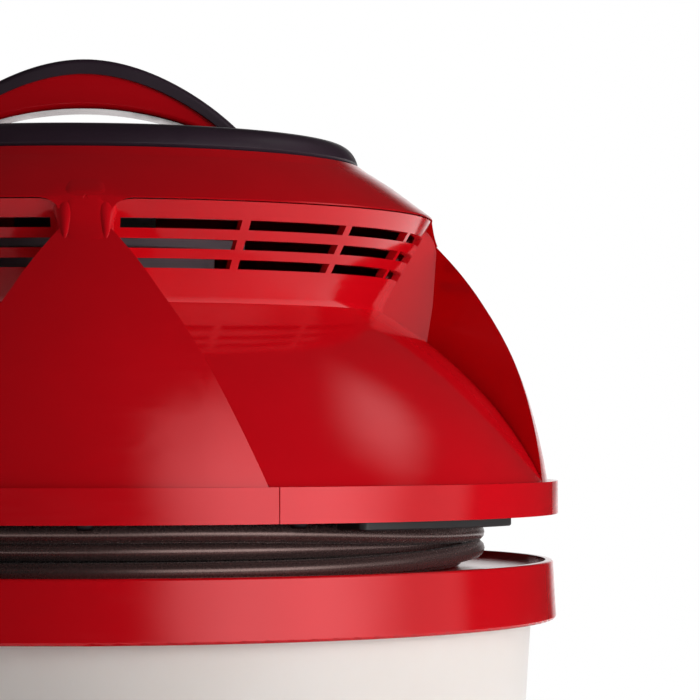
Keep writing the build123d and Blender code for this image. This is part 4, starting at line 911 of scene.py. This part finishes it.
@dataclass
class CordStore(SubAssembly):
    """Winding spool with the mains cord laid in it.

    Attributes:
        cord_diameter: Diameter of the sheath, mm.
        cord_length: Length of the whole cord, metres; not used.
        rest: Radius and height of the cord on each pass, inner layer first, mm.
        points_per_turn: Control points in one turn of the winding.
        winding: Azimuth where it enters and leaves the winding, counted on through all turns.
        crossing: Azimuth of the last change of pass, how much later each one before it is, and half its length.
        humps: Middle, half width, outward and upward swell of each place where the cord rides over another.
        strays: Start, end, outward and upward shift of each place where the last turn drifts off.
        gland_place: Radius, azimuth and height of the strain relief.
        gland_length: Length of the strain relief, mm.
        lead_out: Straight length beyond the strain relief, mm.
        lead_place: Radius, azimuth and height on the way to the winding.
        tail_places: Radius, azimuth and height of the points on the way to the plug.
        tail_out: Straight length before the plug's relief, mm.
        plug_place: Radius, azimuth and height of the plug.
        plug_length: Length of the plug, mm.
        plug_relief: Length of the plug's strain relief, mm.
        screws: Radius and azimuth of each screw of the spool.
    """

    nodes: Dress = (
        ("winding_spool", BLACK_ABS, 0.5), ("cord_retainers", BLACK_ABS, 0.5), ("plug_blades", PLUG_BRASS, 0.3))
    cord_diameter: float = 7.5
    cord_length: float = 8.0
    rest: Table = (
        (150.4, 239.9), (150.4, 247.3), (150.4, 254.6), (158.6, 254.6), (158.6, 247.3), (158.6, 239.9),
        (167.3, 239.9), (166.2, 254.4))
    points_per_turn: int = 24
    winding: Pair = (212.0, 2988.0)
    crossing: Point = (230.0, 15.0, 18.0)
    humps: tuple[tuple[float, ...], ...] = ((1785.0, 62.0, 5.0, 0.4), (2604.0, 56.0, 0.3, 4.0))
    strays: tuple[tuple[float, ...], ...] = ((2898.0, 2942.0, 0.6, -3.4), (2958.0, 2992.0, 4.0, -3.6))
    gland_place: Point = (136.0, 166.0, 242.6)
    gland_length: float = 24.0
    lead_out: float = 26.0
    lead_place: Point = (146.5, 200.0, 240.2)
    tail_places: tuple[Point, ...] = ((171.0, 130.0, 240.2), (177.0, 141.0, 240.2))
    tail_out: float = 22.0
    plug_place: Point = (184.5, 176.0, 242.5)
    plug_length: float = 30.0
    plug_relief: float = 18.0
    screws: Table = tuple((134.0, turn) for turn in (45.0, 135.0, 225.0, 315.0))

    def fittings(self) -> tuple[Matrix, Matrix]:
        """Places the strain relief on the wall of the cord bay, and the plug.

        Returns:
            The matrix of the strain relief, with Z along the cord, and of the plug, with Z towards the cord.
        """
        turn = self.plug_place[1]
        return (place_on(polar(*self.gland_place), along_rim(self.gland_place[1]), Vector((0, 0, 1))),
                place_on(polar(*self.plug_place), -along_rim(turn), polar(1.0, turn, 0.0).normalized()))

    def winding_place(self, azimuth: float) -> Pair:
        """Radius and height of the cord in the winding.

        Args:
            azimuth: Azimuth counted on through all the turns.

        Returns:
            Radius and height, mm.
        """
        moves = [(1.0 - smoothstep(abs(azimuth - middle), 0.0, half), outward, upward)
                 for middle, half, outward, upward in self.humps]
        moves += [(smoothstep(azimuth, start, end), outward, upward) for start, end, outward, upward in self.strays]
        first, stagger, half = self.crossing
        last = len(self.rest) - 1
        for k, (before, after) in enumerate(zip(self.rest, self.rest[1:]), 1):
            middle = 360.0 * k + first + stagger * (last - k)
            moves.append((smoothstep(azimuth, middle - half, middle + half),
                          after[0] - before[0], after[1] - before[1]))
        radius, height = self.rest[0]
        return (radius + sum(share * outward for share, outward, upward in moves),
                height + sum(share * upward for share, outward, upward in moves))

    def route(self) -> list[Vector]:
        """Lists the control points of the cord from the strain relief to the plug.

        Returns:
            The points, in metres.
        """
        gland, plug = self.fittings()
        lead = [gland @ Vector((0, 0, along * MM)) for along in (self.gland_length, self.gland_length + self.lead_out)]
        lead.append(polar(*self.lead_place))
        step = 360.0 / self.points_per_turn
        start, end = self.winding
        turns = [start + k * step for k in range(int((end - start) / step) + 1)]
        places = [self.winding_place(turn) for turn in turns]
        winding = [polar(radius, turn, height) for turn, (radius, height) in zip(turns, places)]
        relief_end = self.plug_length / 2 + self.plug_relief
        tail = [polar(*place) for place in self.tail_places]
        tail += [plug @ Vector((0, 0, along * MM)) for along in (relief_end + self.tail_out, relief_end)]
        return lead + winding + tail

    def cord(self, with_pieces: Sequence[Piece | str]) -> Piece:
        """Lays the cord as one smooth line with a round section.

        Args:
            with_pieces: What belongs to the cord; not used.

        Returns:
            The cord.
        """
        points = self.route()
        data = bpy.data.curves.new("mains_cord", "CURVE")
        data.dimensions = "3D"
        line = data.splines.new("NURBS")
        line.points.add(len(points) - 1)
        for control, point in zip(line.points, points):
            control.co = (*point, 1.0)
        line.order_u = 3
        line.use_endpoint_u = True
        line.resolution_u = 5
        data.bevel_depth = self.cord_diameter / 2 * MM
        data.bevel_resolution = 4
        data.use_fill_caps = True
        data.materials.append(CORD_PVC.material())
        piece = put("mains_cord", data)
        hand_over(piece, "head", "cord_pvc", "cord_coil", "cord_lead", "cord_tail")
        return piece

    def relief_profile(self, start: float, length: float, base: float, tip: float, ribs: int) -> list[Pair]:
        """Profile of a moulded strain relief, ribbed so that it bends.

        Args:
            start: Where the ribs begin along the axis, mm.
            length: Length of the ribbed stretch, mm.
            base: Radius at the start, mm.
            tip: Radius at the end, mm.
            ribs: Number of ribs.

        Returns:
            Distance along the axis and radius of each ring, mm.
        """
        # A rib with a chamfer on each side fills two thirds of the pitch, and a neck the rest.
        profile = []
        pitch, chamfer = length / ribs, 0.3
        for k in range(ribs):
            radius = base + (tip - base) * k / (ribs - 1)
            foot = start + k * pitch
            neck = radius * 0.82
            profile += [(foot, radius - chamfer), (foot + 0.25, radius), (foot + pitch * 0.58, radius),
                        (foot + pitch * 0.66, radius - chamfer), (foot + pitch * 0.7, neck),
                        (foot + pitch * 0.97, neck)]
        profile.append((start + length, tip))
        return profile

    def gland(self) -> Piece:
        """Makes the ribbed strain relief where the cord leaves the spool.

        Returns:
            The strain relief.
        """
        profile = [(0.0, 6.2), (1.7, 6.2), (2.0, 5.9)]
        profile += self.relief_profile(2.3, self.gland_length - 2.3, 5.4, 4.6, 6)
        rings = turned_rings(profile, self.fittings()[0])
        piece = mesh_object("cord_gland_ribbed", lambda shape: skin_rings(shape, rings), BLACK_ABS)
        soften(piece, 0.15, angle=40.0, segments=1)
        return hand_over(piece, "head", "black_abs", "cord_gland")

    def plug(self) -> list[Piece]:
        """Makes the moulded plug with finger ribs, and its ribbed strain relief.

        Returns:
            The plug and its strain relief.
        """
        half, place = self.plug_length / 2, self.fittings()[1]
        # Width across the blades, thickness, corner radius and place along the plug of each section.
        sections = [(18.0, 10.6, 3.0, -half), (19.6, 12.2, 3.2, -half + 0.8), (20.0, 12.6, 3.4, -half + 2.0),
                    (20.0, 12.6, 3.4, -half + 9.0)]
        for k in range(5):
            foot, waist = -half + 10.0 + 3.0 * k, 17.6 + 0.5 * abs(k - 2)
            sections += [(waist, 11.6, 3.4, foot), (waist, 11.6, 3.4, foot + 1.4),
                         (waist + 1.2, 12.2, 3.4, foot + 1.9), (waist + 1.2, 12.2, 3.4, foot + 2.6)]
        sections += [(17.0, 12.0, 4.4, half - 1.5), (13.0, 11.4, 5.4, half)]
        corners = [(*sides, math.radians(90.0 * quarter + 15.0 * k)) for quarter, sides in enumerate((
            (1, 1), (-1, 1), (-1, -1), (1, -1))) for k in range(7)]
        rings = [[place @ (Vector((
            side_x * (width / 2 - corner) + corner * math.cos(turn),
            side_y * (height / 2 - corner) + corner * math.sin(turn), along)) * MM)
            for side_x, side_y, turn in corners] for width, height, corner, along in sections]
        profile = [(half - 1.0, 5.6)] + self.relief_profile(half, self.plug_relief, 5.6, 4.6, 5)
        body = mesh_object("plug_moulding", lambda shape: skin_rings(shape, rings), CORD_PVC)
        sleeve = mesh_object("plug_strain_relief", lambda shape: skin_rings(shape, turned_rings(profile, place)),
                             CORD_PVC)
        for piece, nodes in ((body, ("plug_body",)), (sleeve, ())):
            soften(piece, 0.2, angle=40.0, segments=1)
            hand_over(piece, "head", "cord_pvc", *nodes)
        return [body, sleeve]

    def build(self) -> None:
        """Adds the cord with its strain reliefs and plug, and the screws of the spool."""
        pieces = [self.gland(), *self.plug(), "plug_blades"]
        self.cord(pieces)
        self.drive_up("spool_screws", "head", self.screws, 6.0)


@dataclass
class Dome(SubAssembly):
    """Red hood with its two vent covers.

    Attributes:
        screws: Radius and azimuth of each screw of the hood and of the vent covers.
        lip_end: Azimuth of the front end of each grille's lip.
        lobe_place: Radius and height of the lobe at that end, mm.
        lobe_radius: Radius of the lobe's round end, mm.
        lobe_lean: Lean of the lobe's point outwards, degrees.
        lobe_taper: Distance from the round end and radius along the lobe, mm.
        bridge: Height and radius of the bridge over the top of the front pillar, mm.
        bridge_reach: Azimuth of the side of the bridge.
        bridge_flat: Azimuth at which its face starts to turn inwards.
        bridge_dip: How far its sides sink into the dome, mm.
        bridge_wall: Thickness of the bridge there, mm.
    """

    screws: Table = (*((180.0, turn) for turn in (0.0, 100.0, 180.0, 260.0)),
                     *((178.0, turn) for turn in (67.0, 27.0, -27.0, -67.0)))
    lip_end: float = 2.9
    lobe_place: Pair = (144.6, 377.6)
    lobe_radius: float = 4.8
    lobe_lean: float = 40.0
    lobe_taper: Table = ((2.0, 4.6), (5.0, 3.8), (9.0, 2.6), (13.0, 1.7), (16.0, 1.0), (16.8, 0.4))
    bridge: Table = (
        (362.0, 157.9), (366.0, 155.7), (369.0, 153.7), (372.0, 152.0), (376.0, 150.3), (380.0, 148.8),
        (384.0, 146.6), (388.0, 141.3), (391.0, 136.4))
    bridge_reach: float = 4.1
    bridge_flat: float = 2.2
    bridge_dip: float = 1.4
    bridge_wall: float = 2.0

    def ears(self) -> None:
        """Adds the rounded lobe at the front end of the lip above each grille."""
        lean = math.radians(self.lobe_lean)
        radius, height = self.lobe_place
        turns = [math.radians(turn) for turn in range(10, 100, 10)]
        profile = [(-self.lobe_radius * math.cos(turn), self.lobe_radius * math.sin(turn)) for turn in turns]
        matrices = []
        for azimuth in (self.lip_end, -self.lip_end):
            axis = polar(math.sin(lean), azimuth, -math.cos(lean)).normalized()
            matrices.append(place_on(polar(radius, azimuth, height), axis, along_rim(azimuth)))
        # The lobes take the brighter red of the covers: painted light.
        piece = mesh_object("vent_lip_ends", lambda shape: [
            skin_rings(shape, turned_rings([*profile, *self.lobe_taper], matrix, 24)) for matrix in matrices],
            RED_COVER_ABS_PAINTED_LIGHT)
        hand_over(piece, "head", "red_cover_abs")

    def brow(self) -> None:
        """Adds the smooth bridge between the two lips, over the narrow top of the front pillar."""
        rows, columns = 30, 12
        low, high = self.bridge[0][0], self.bridge[-1][0]
        turns = [self.bridge_reach * (2.0 * column / columns - 1.0) for column in range(columns + 1)]
        rings = []
        for row in range(rows + 1):
            height = low + (high - low) * row / rows
            radius = eased(self.bridge, height)
            outer = [polar(radius - self.bridge_dip * smoothstep(abs(turn), self.bridge_flat, self.bridge_reach),
                           turn, height) for turn in turns]
            inner = [polar(radius - self.bridge_dip - self.bridge_wall, turn, height) for turn in reversed(turns)]
            rings.append(outer + inner)
        hand_over(mesh_object("hood_brow", lambda shape: skin_rings(shape, rings), RED_ABS), "head", "red_abs")

    def build(self) -> None:
        """Adds the fuller mouldings and the screws that come up through the disc of the spool."""
        form = CrownForm()
        form.redraw("hood", RED_ABS, "red_abs", 0.6, form.dome_point)
        for name in ("vent_cover_right", "vent_cover_left"):
            # The vent covers take the brighter copy of the red: painted light.
            form.redraw(name, RED_COVER_ABS_PAINTED_LIGHT, "red_cover_abs", 0.35, form.dome_point)
        self.ears()
        self.brow()
        # The hood's screws take the darkened steel: painted shade.
        self.drive_up("hood_screws", "head", self.screws, 14.0, SCREW_STEEL_PAINTED_SHADE)


@dataclass
class CapPlate(SubAssembly):
    """Dark plate on the crown with the handle and the switch."""

    nodes: Dress = (
        ("handle_grip", DARK_ABS, 0.6), ("handle_core", RED_ABS, 0.5), ("handle_screws", SCREW_STEEL, 0.0),
        ("switch_bezel", BLACK_ABS, 0.4), ("switch_rocker", ROCKER_PLASTIC, 0.4))

    def build(self) -> None:
        """Adds the cap plate with its flat crown and sloping edge."""
        form = CrownForm()
        form.redraw("top_plate", DARK_ABS, "dark_cap_plastic", 0.7, form.cap_point)


@dataclass
class MotorUnit(SubAssembly):
    """Motor, fan and filter, seen through the louvres and from under the head."""

    # The nylon is painted lighter than it is: painted light for what comes in through the louvres.
    nodes: Dress = (
        ("motor_deck", MOTOR_NYLON_PAINTED_LIGHT, 0.4), ("fan_housing", MOTOR_NYLON_PAINTED_LIGHT, 0.5), ("motor_casing", MOTOR_NYLON_PAINTED_LIGHT, 0.5),
        ("filter_bottom_cap", MOTOR_NYLON_PAINTED_LIGHT, 0.5), ("filter_nut", MOTOR_NYLON_PAINTED_LIGHT, 0.4),
        *((name, MOTOR_NYLON_PAINTED_LIGHT, 0.0) for name in (
            "brush_holders", "motor_top_mount", "impeller", "filter_cage", "filter_top_cap")),
        *((name, AXLE_STEEL, 0.0) for name in ("bearing_lower", "bearing_upper", "motor_shaft")),
        ("motor_stator", CORE_STEEL, 0.0), ("armature", CORE_STEEL, 0.0), ("motor_cushion", SEAL_RUBBER, 0.0),
        ("filter_pleats", FILTER_PAPER, 0.0))


# ------------------------------------------------------------------ studio
class LampUse(Enum):
    """What a lamp does."""

    MIRRORED = "lights the part and is mirrored in its gloss"
    UNSEEN = "lights the part only"


@dataclass(frozen=True)
class SoftBox:
    """A large soft lamp that faces the object.

    Attributes:
        name: Name of the lamp.
        azimuth: Where it stands round the object.
        distance: Distance from the upright axis, metres.
        height: Height of its middle, metres.
        width: Width, metres.
        tall: Height of its face, metres.
        radiance: How bright its face is, where 1 is white.
        use: Whether glossy surfaces mirror its face.
        soft_edge: Share of the half width over which the face fades out.
    """

    name: str
    azimuth: float
    distance: float
    height: float
    width: float
    tall: float
    radiance: float
    use: LampUse = LampUse.MIRRORED
    soft_edge: float = 0.0

    def build(self, target: Vector) -> None:
        """Hangs the lamp and turns it to a point.

        Args:
            target: Point that it faces, in metres.
        """
        lamp = bpy.data.lights.new(self.name, "AREA")
        lamp.shape = "RECTANGLE"
        lamp.size = self.width
        lamp.size_y = self.tall
        lamp.energy = self.radiance * math.pi * self.width * self.tall
        if self.soft_edge:
            self.fade(lamp)
        piece = put(self.name, lamp)
        piece.location = polar(self.distance / MM, self.azimuth, self.height / MM)
        piece.rotation_euler = (target - piece.location).to_track_quat("-Z", "Y").to_euler()
        piece.visible_camera = False
        piece.visible_glossy = self.use is LampUse.MIRRORED
        LOG.info("%s: %s", self.name, self.use.value)

    def fade(self, lamp: bpy.types.Light) -> None:
        """Fades the face of the lamp towards its edges, as a diffuser does round its bulb.

        Args:
            lamp: The area lamp.
        """
        tree = new_tree(lamp)
        place = add_node(tree, "ShaderNodeNewGeometry").outputs["Parametric"]
        centred = add_node(tree, "ShaderNodeVectorMath", {"operation": "SUBTRACT", 1: (0.5, 0.5, 0.0)}, {0: place})
        split = add_node(tree, "ShaderNodeSeparateXYZ", links={"Vector": centred.outputs["Vector"]})
        across, upward = (remap(tree, maths(tree, "ABSOLUTE", split.outputs[axis]),
                                (0.5, 0.5 * (1.0 - self.soft_edge)))
                          for axis in ("X", "Y"))
        shine = add_node(tree, "ShaderNodeEmission", links={"Strength": maths(tree, "MULTIPLY", across, upward)})
        add_node(tree, "ShaderNodeOutputLight", links={"Surface": shine.outputs["Emission"]})


@dataclass
class Studio:
    """White sweep, soft lamps and the camera.

    Attributes:
        camera_place: Place of the lens, metres.
        turn_right: Turn of the camera to the right of the axis, degrees.
        tilt_up: Upward tilt of the camera, degrees.
        lens: Focal length on a 36 mm wide sensor, mm.
        floor_radius: Radius of the floor, metres.
        floor_fade: Distances between which the floor melts into the white, metres.
        wall_span: Cosine from straight back where the white wall begins and is full.
        wall_top: Upward part of the direction where the wall begins and is full.
        fill: Strength of the even fill.
        paper: Fibres of the floor.
        boxes: The lamps.
    """

    camera_place: Point = (0.0, -1.4, 0.2929)
    turn_right: float = 4.62
    tilt_up: float = 1.42
    lens: float = 168.63
    floor_radius: float = 3.0
    floor_fade: Pair = (0.45, 1.1)
    wall_span: Pair = (0.9, 0.985)
    wall_top: Pair = (0.75, 0.35)
    fill: float = 0.13
    paper: Grain = Grain(3.0, 3.0)
    boxes: tuple[SoftBox, ...] = (
        SoftBox("key_box", 44.0, 1.6, 0.4, 2.3, 2.1, 1.6, soft_edge=0.85),
        SoftBox("wide_box", 57.0, 1.75, 0.4, 3.5, 2.4, 0.45, soft_edge=0.3),
        SoftBox("side_box", 64.0, 1.8, 0.3, 0.8, 0.8, 6.2, LampUse.UNSEEN),
        SoftBox("high_box", 108.0, 1.5, 1.7, 1.3, 0.8, 0.8, soft_edge=0.9),
        SoftBox("back_box", 215.0, 1.9, 1.1, 1.2, 1.2, 5.0, LampUse.UNSEEN),
    )

    def camera(self) -> None:
        """Sets the camera at the viewing angle."""
        data = bpy.data.cameras.new("studio_camera")
        data.lens = self.lens
        piece = put("studio_camera", data)
        piece.location = self.camera_place
        turn, tilt = math.radians(self.turn_right), math.radians(self.tilt_up)
        forward = Vector((math.sin(turn) * math.cos(tilt), math.cos(turn) * math.cos(tilt), math.sin(tilt)))
        piece.rotation_euler = forward.to_track_quat("-Z", "Y").to_euler()
        bpy.context.scene.camera = piece

    def floor(self) -> None:
        """Adds the pale floor that keeps the shadow and melts into the white further out."""
        made = bpy.data.materials.new("matt_white_floor")
        tree = new_tree(made)
        place = add_node(tree, "ShaderNodeTexCoord").outputs["Object"]
        tint = ramp(tree, self.paper.factor(tree, place), "#F1F1F0", "#F6F6F5")
        matt = add_node(tree, "ShaderNodeBsdfPrincipled", {"Roughness": 0.6}, {"Base Color": tint})
        reach = add_node(tree, "ShaderNodeVectorMath", {"operation": "LENGTH"}, {0: place}).outputs["Value"]
        seen = maths(tree, "MULTIPLY", remap(tree, reach, self.floor_fade), self.seen_rays(tree))
        white = add_node(tree, "ShaderNodeEmission", {"Strength": 1.0})
        blend = add_node(tree, "ShaderNodeMixShader", links={
            0: seen, 1: matt.outputs["BSDF"], 2: white.outputs["Emission"]})
        add_node(tree, "ShaderNodeOutputMaterial", links={"Surface": blend.outputs["Shader"]})
        disc = mesh_object("studio_floor", lambda shape: bmesh.ops.create_circle(
            shape, cap_ends=True, segments=96, radius=self.floor_radius))
        disc.data.materials.append(made)

    def seen_rays(self, tree: Tree) -> Socket:
        """Tells the rays that show the background: camera, glossy and transmission rays.

        Args:
            tree: Takes the nodes.

        Returns:
            1 for those rays and 0 for the others.
        """
        path = add_node(tree, "ShaderNodeLightPath").outputs
        shiny = maths(tree, "MAXIMUM", path["Is Glossy Ray"], path["Is Transmission Ray"])
        return maths(tree, "MAXIMUM", path["Is Camera Ray"], shiny)

    def world(self) -> None:
        """Adds the white background, dim on the camera's side as a studio is, and a soft even fill."""
        made = bpy.data.worlds.new("white_studio")
        bpy.context.scene.world = made
        tree = new_tree(made)
        direction = add_node(tree, "ShaderNodeTexCoord").outputs["Generated"]
        parts = add_node(tree, "ShaderNodeSeparateXYZ", links={"Vector": direction}).outputs
        wall = maths(tree, "MULTIPLY", remap(tree, parts["Y"], self.wall_span),
                     remap(tree, parts["Z"], self.wall_top))
        camera = add_node(tree, "ShaderNodeLightPath").outputs["Is Camera Ray"]
        sweep = ramp(tree, maths(tree, "MAXIMUM", wall, camera), "#2E2C2C", "#FFFFFF")
        shown = add_node(tree, "ShaderNodeBackground", {"Strength": 1.0}, {"Color": sweep})
        even = add_node(tree, "ShaderNodeBackground", {"Color": srgb("#F4F4F6"), "Strength": self.fill})
        blend = add_node(tree, "ShaderNodeMixShader", links={
            0: self.seen_rays(tree), 1: even.outputs["Background"], 2: shown.outputs["Background"]})
        add_node(tree, "ShaderNodeOutputWorld", links={"Surface": blend.outputs["Shader"]})

    def build(self) -> None:
        """Builds the camera, the floor, the world and the lamps."""
        self.camera()
        self.floor()
        self.world()
        low, high = CAD_BOX
        for box in self.boxes:
            box.build((low + high) / 2)
        bpy.context.scene.view_settings.view_transform = "Standard"


def main() -> None:
    """Builds the studio and each sub-assembly in order."""
    logging.basicConfig(level=logging.INFO, format="%(name)s %(message)s")
    Studio().build()
    for part in (CordStore(), RunningGear(), Tank(), CarrierRing(), Dome(), CapPlate(), MotorUnit()):
        part.make()
        LOG.info("%s done", type(part).__name__)


if __name__ == "__main__":
    main()
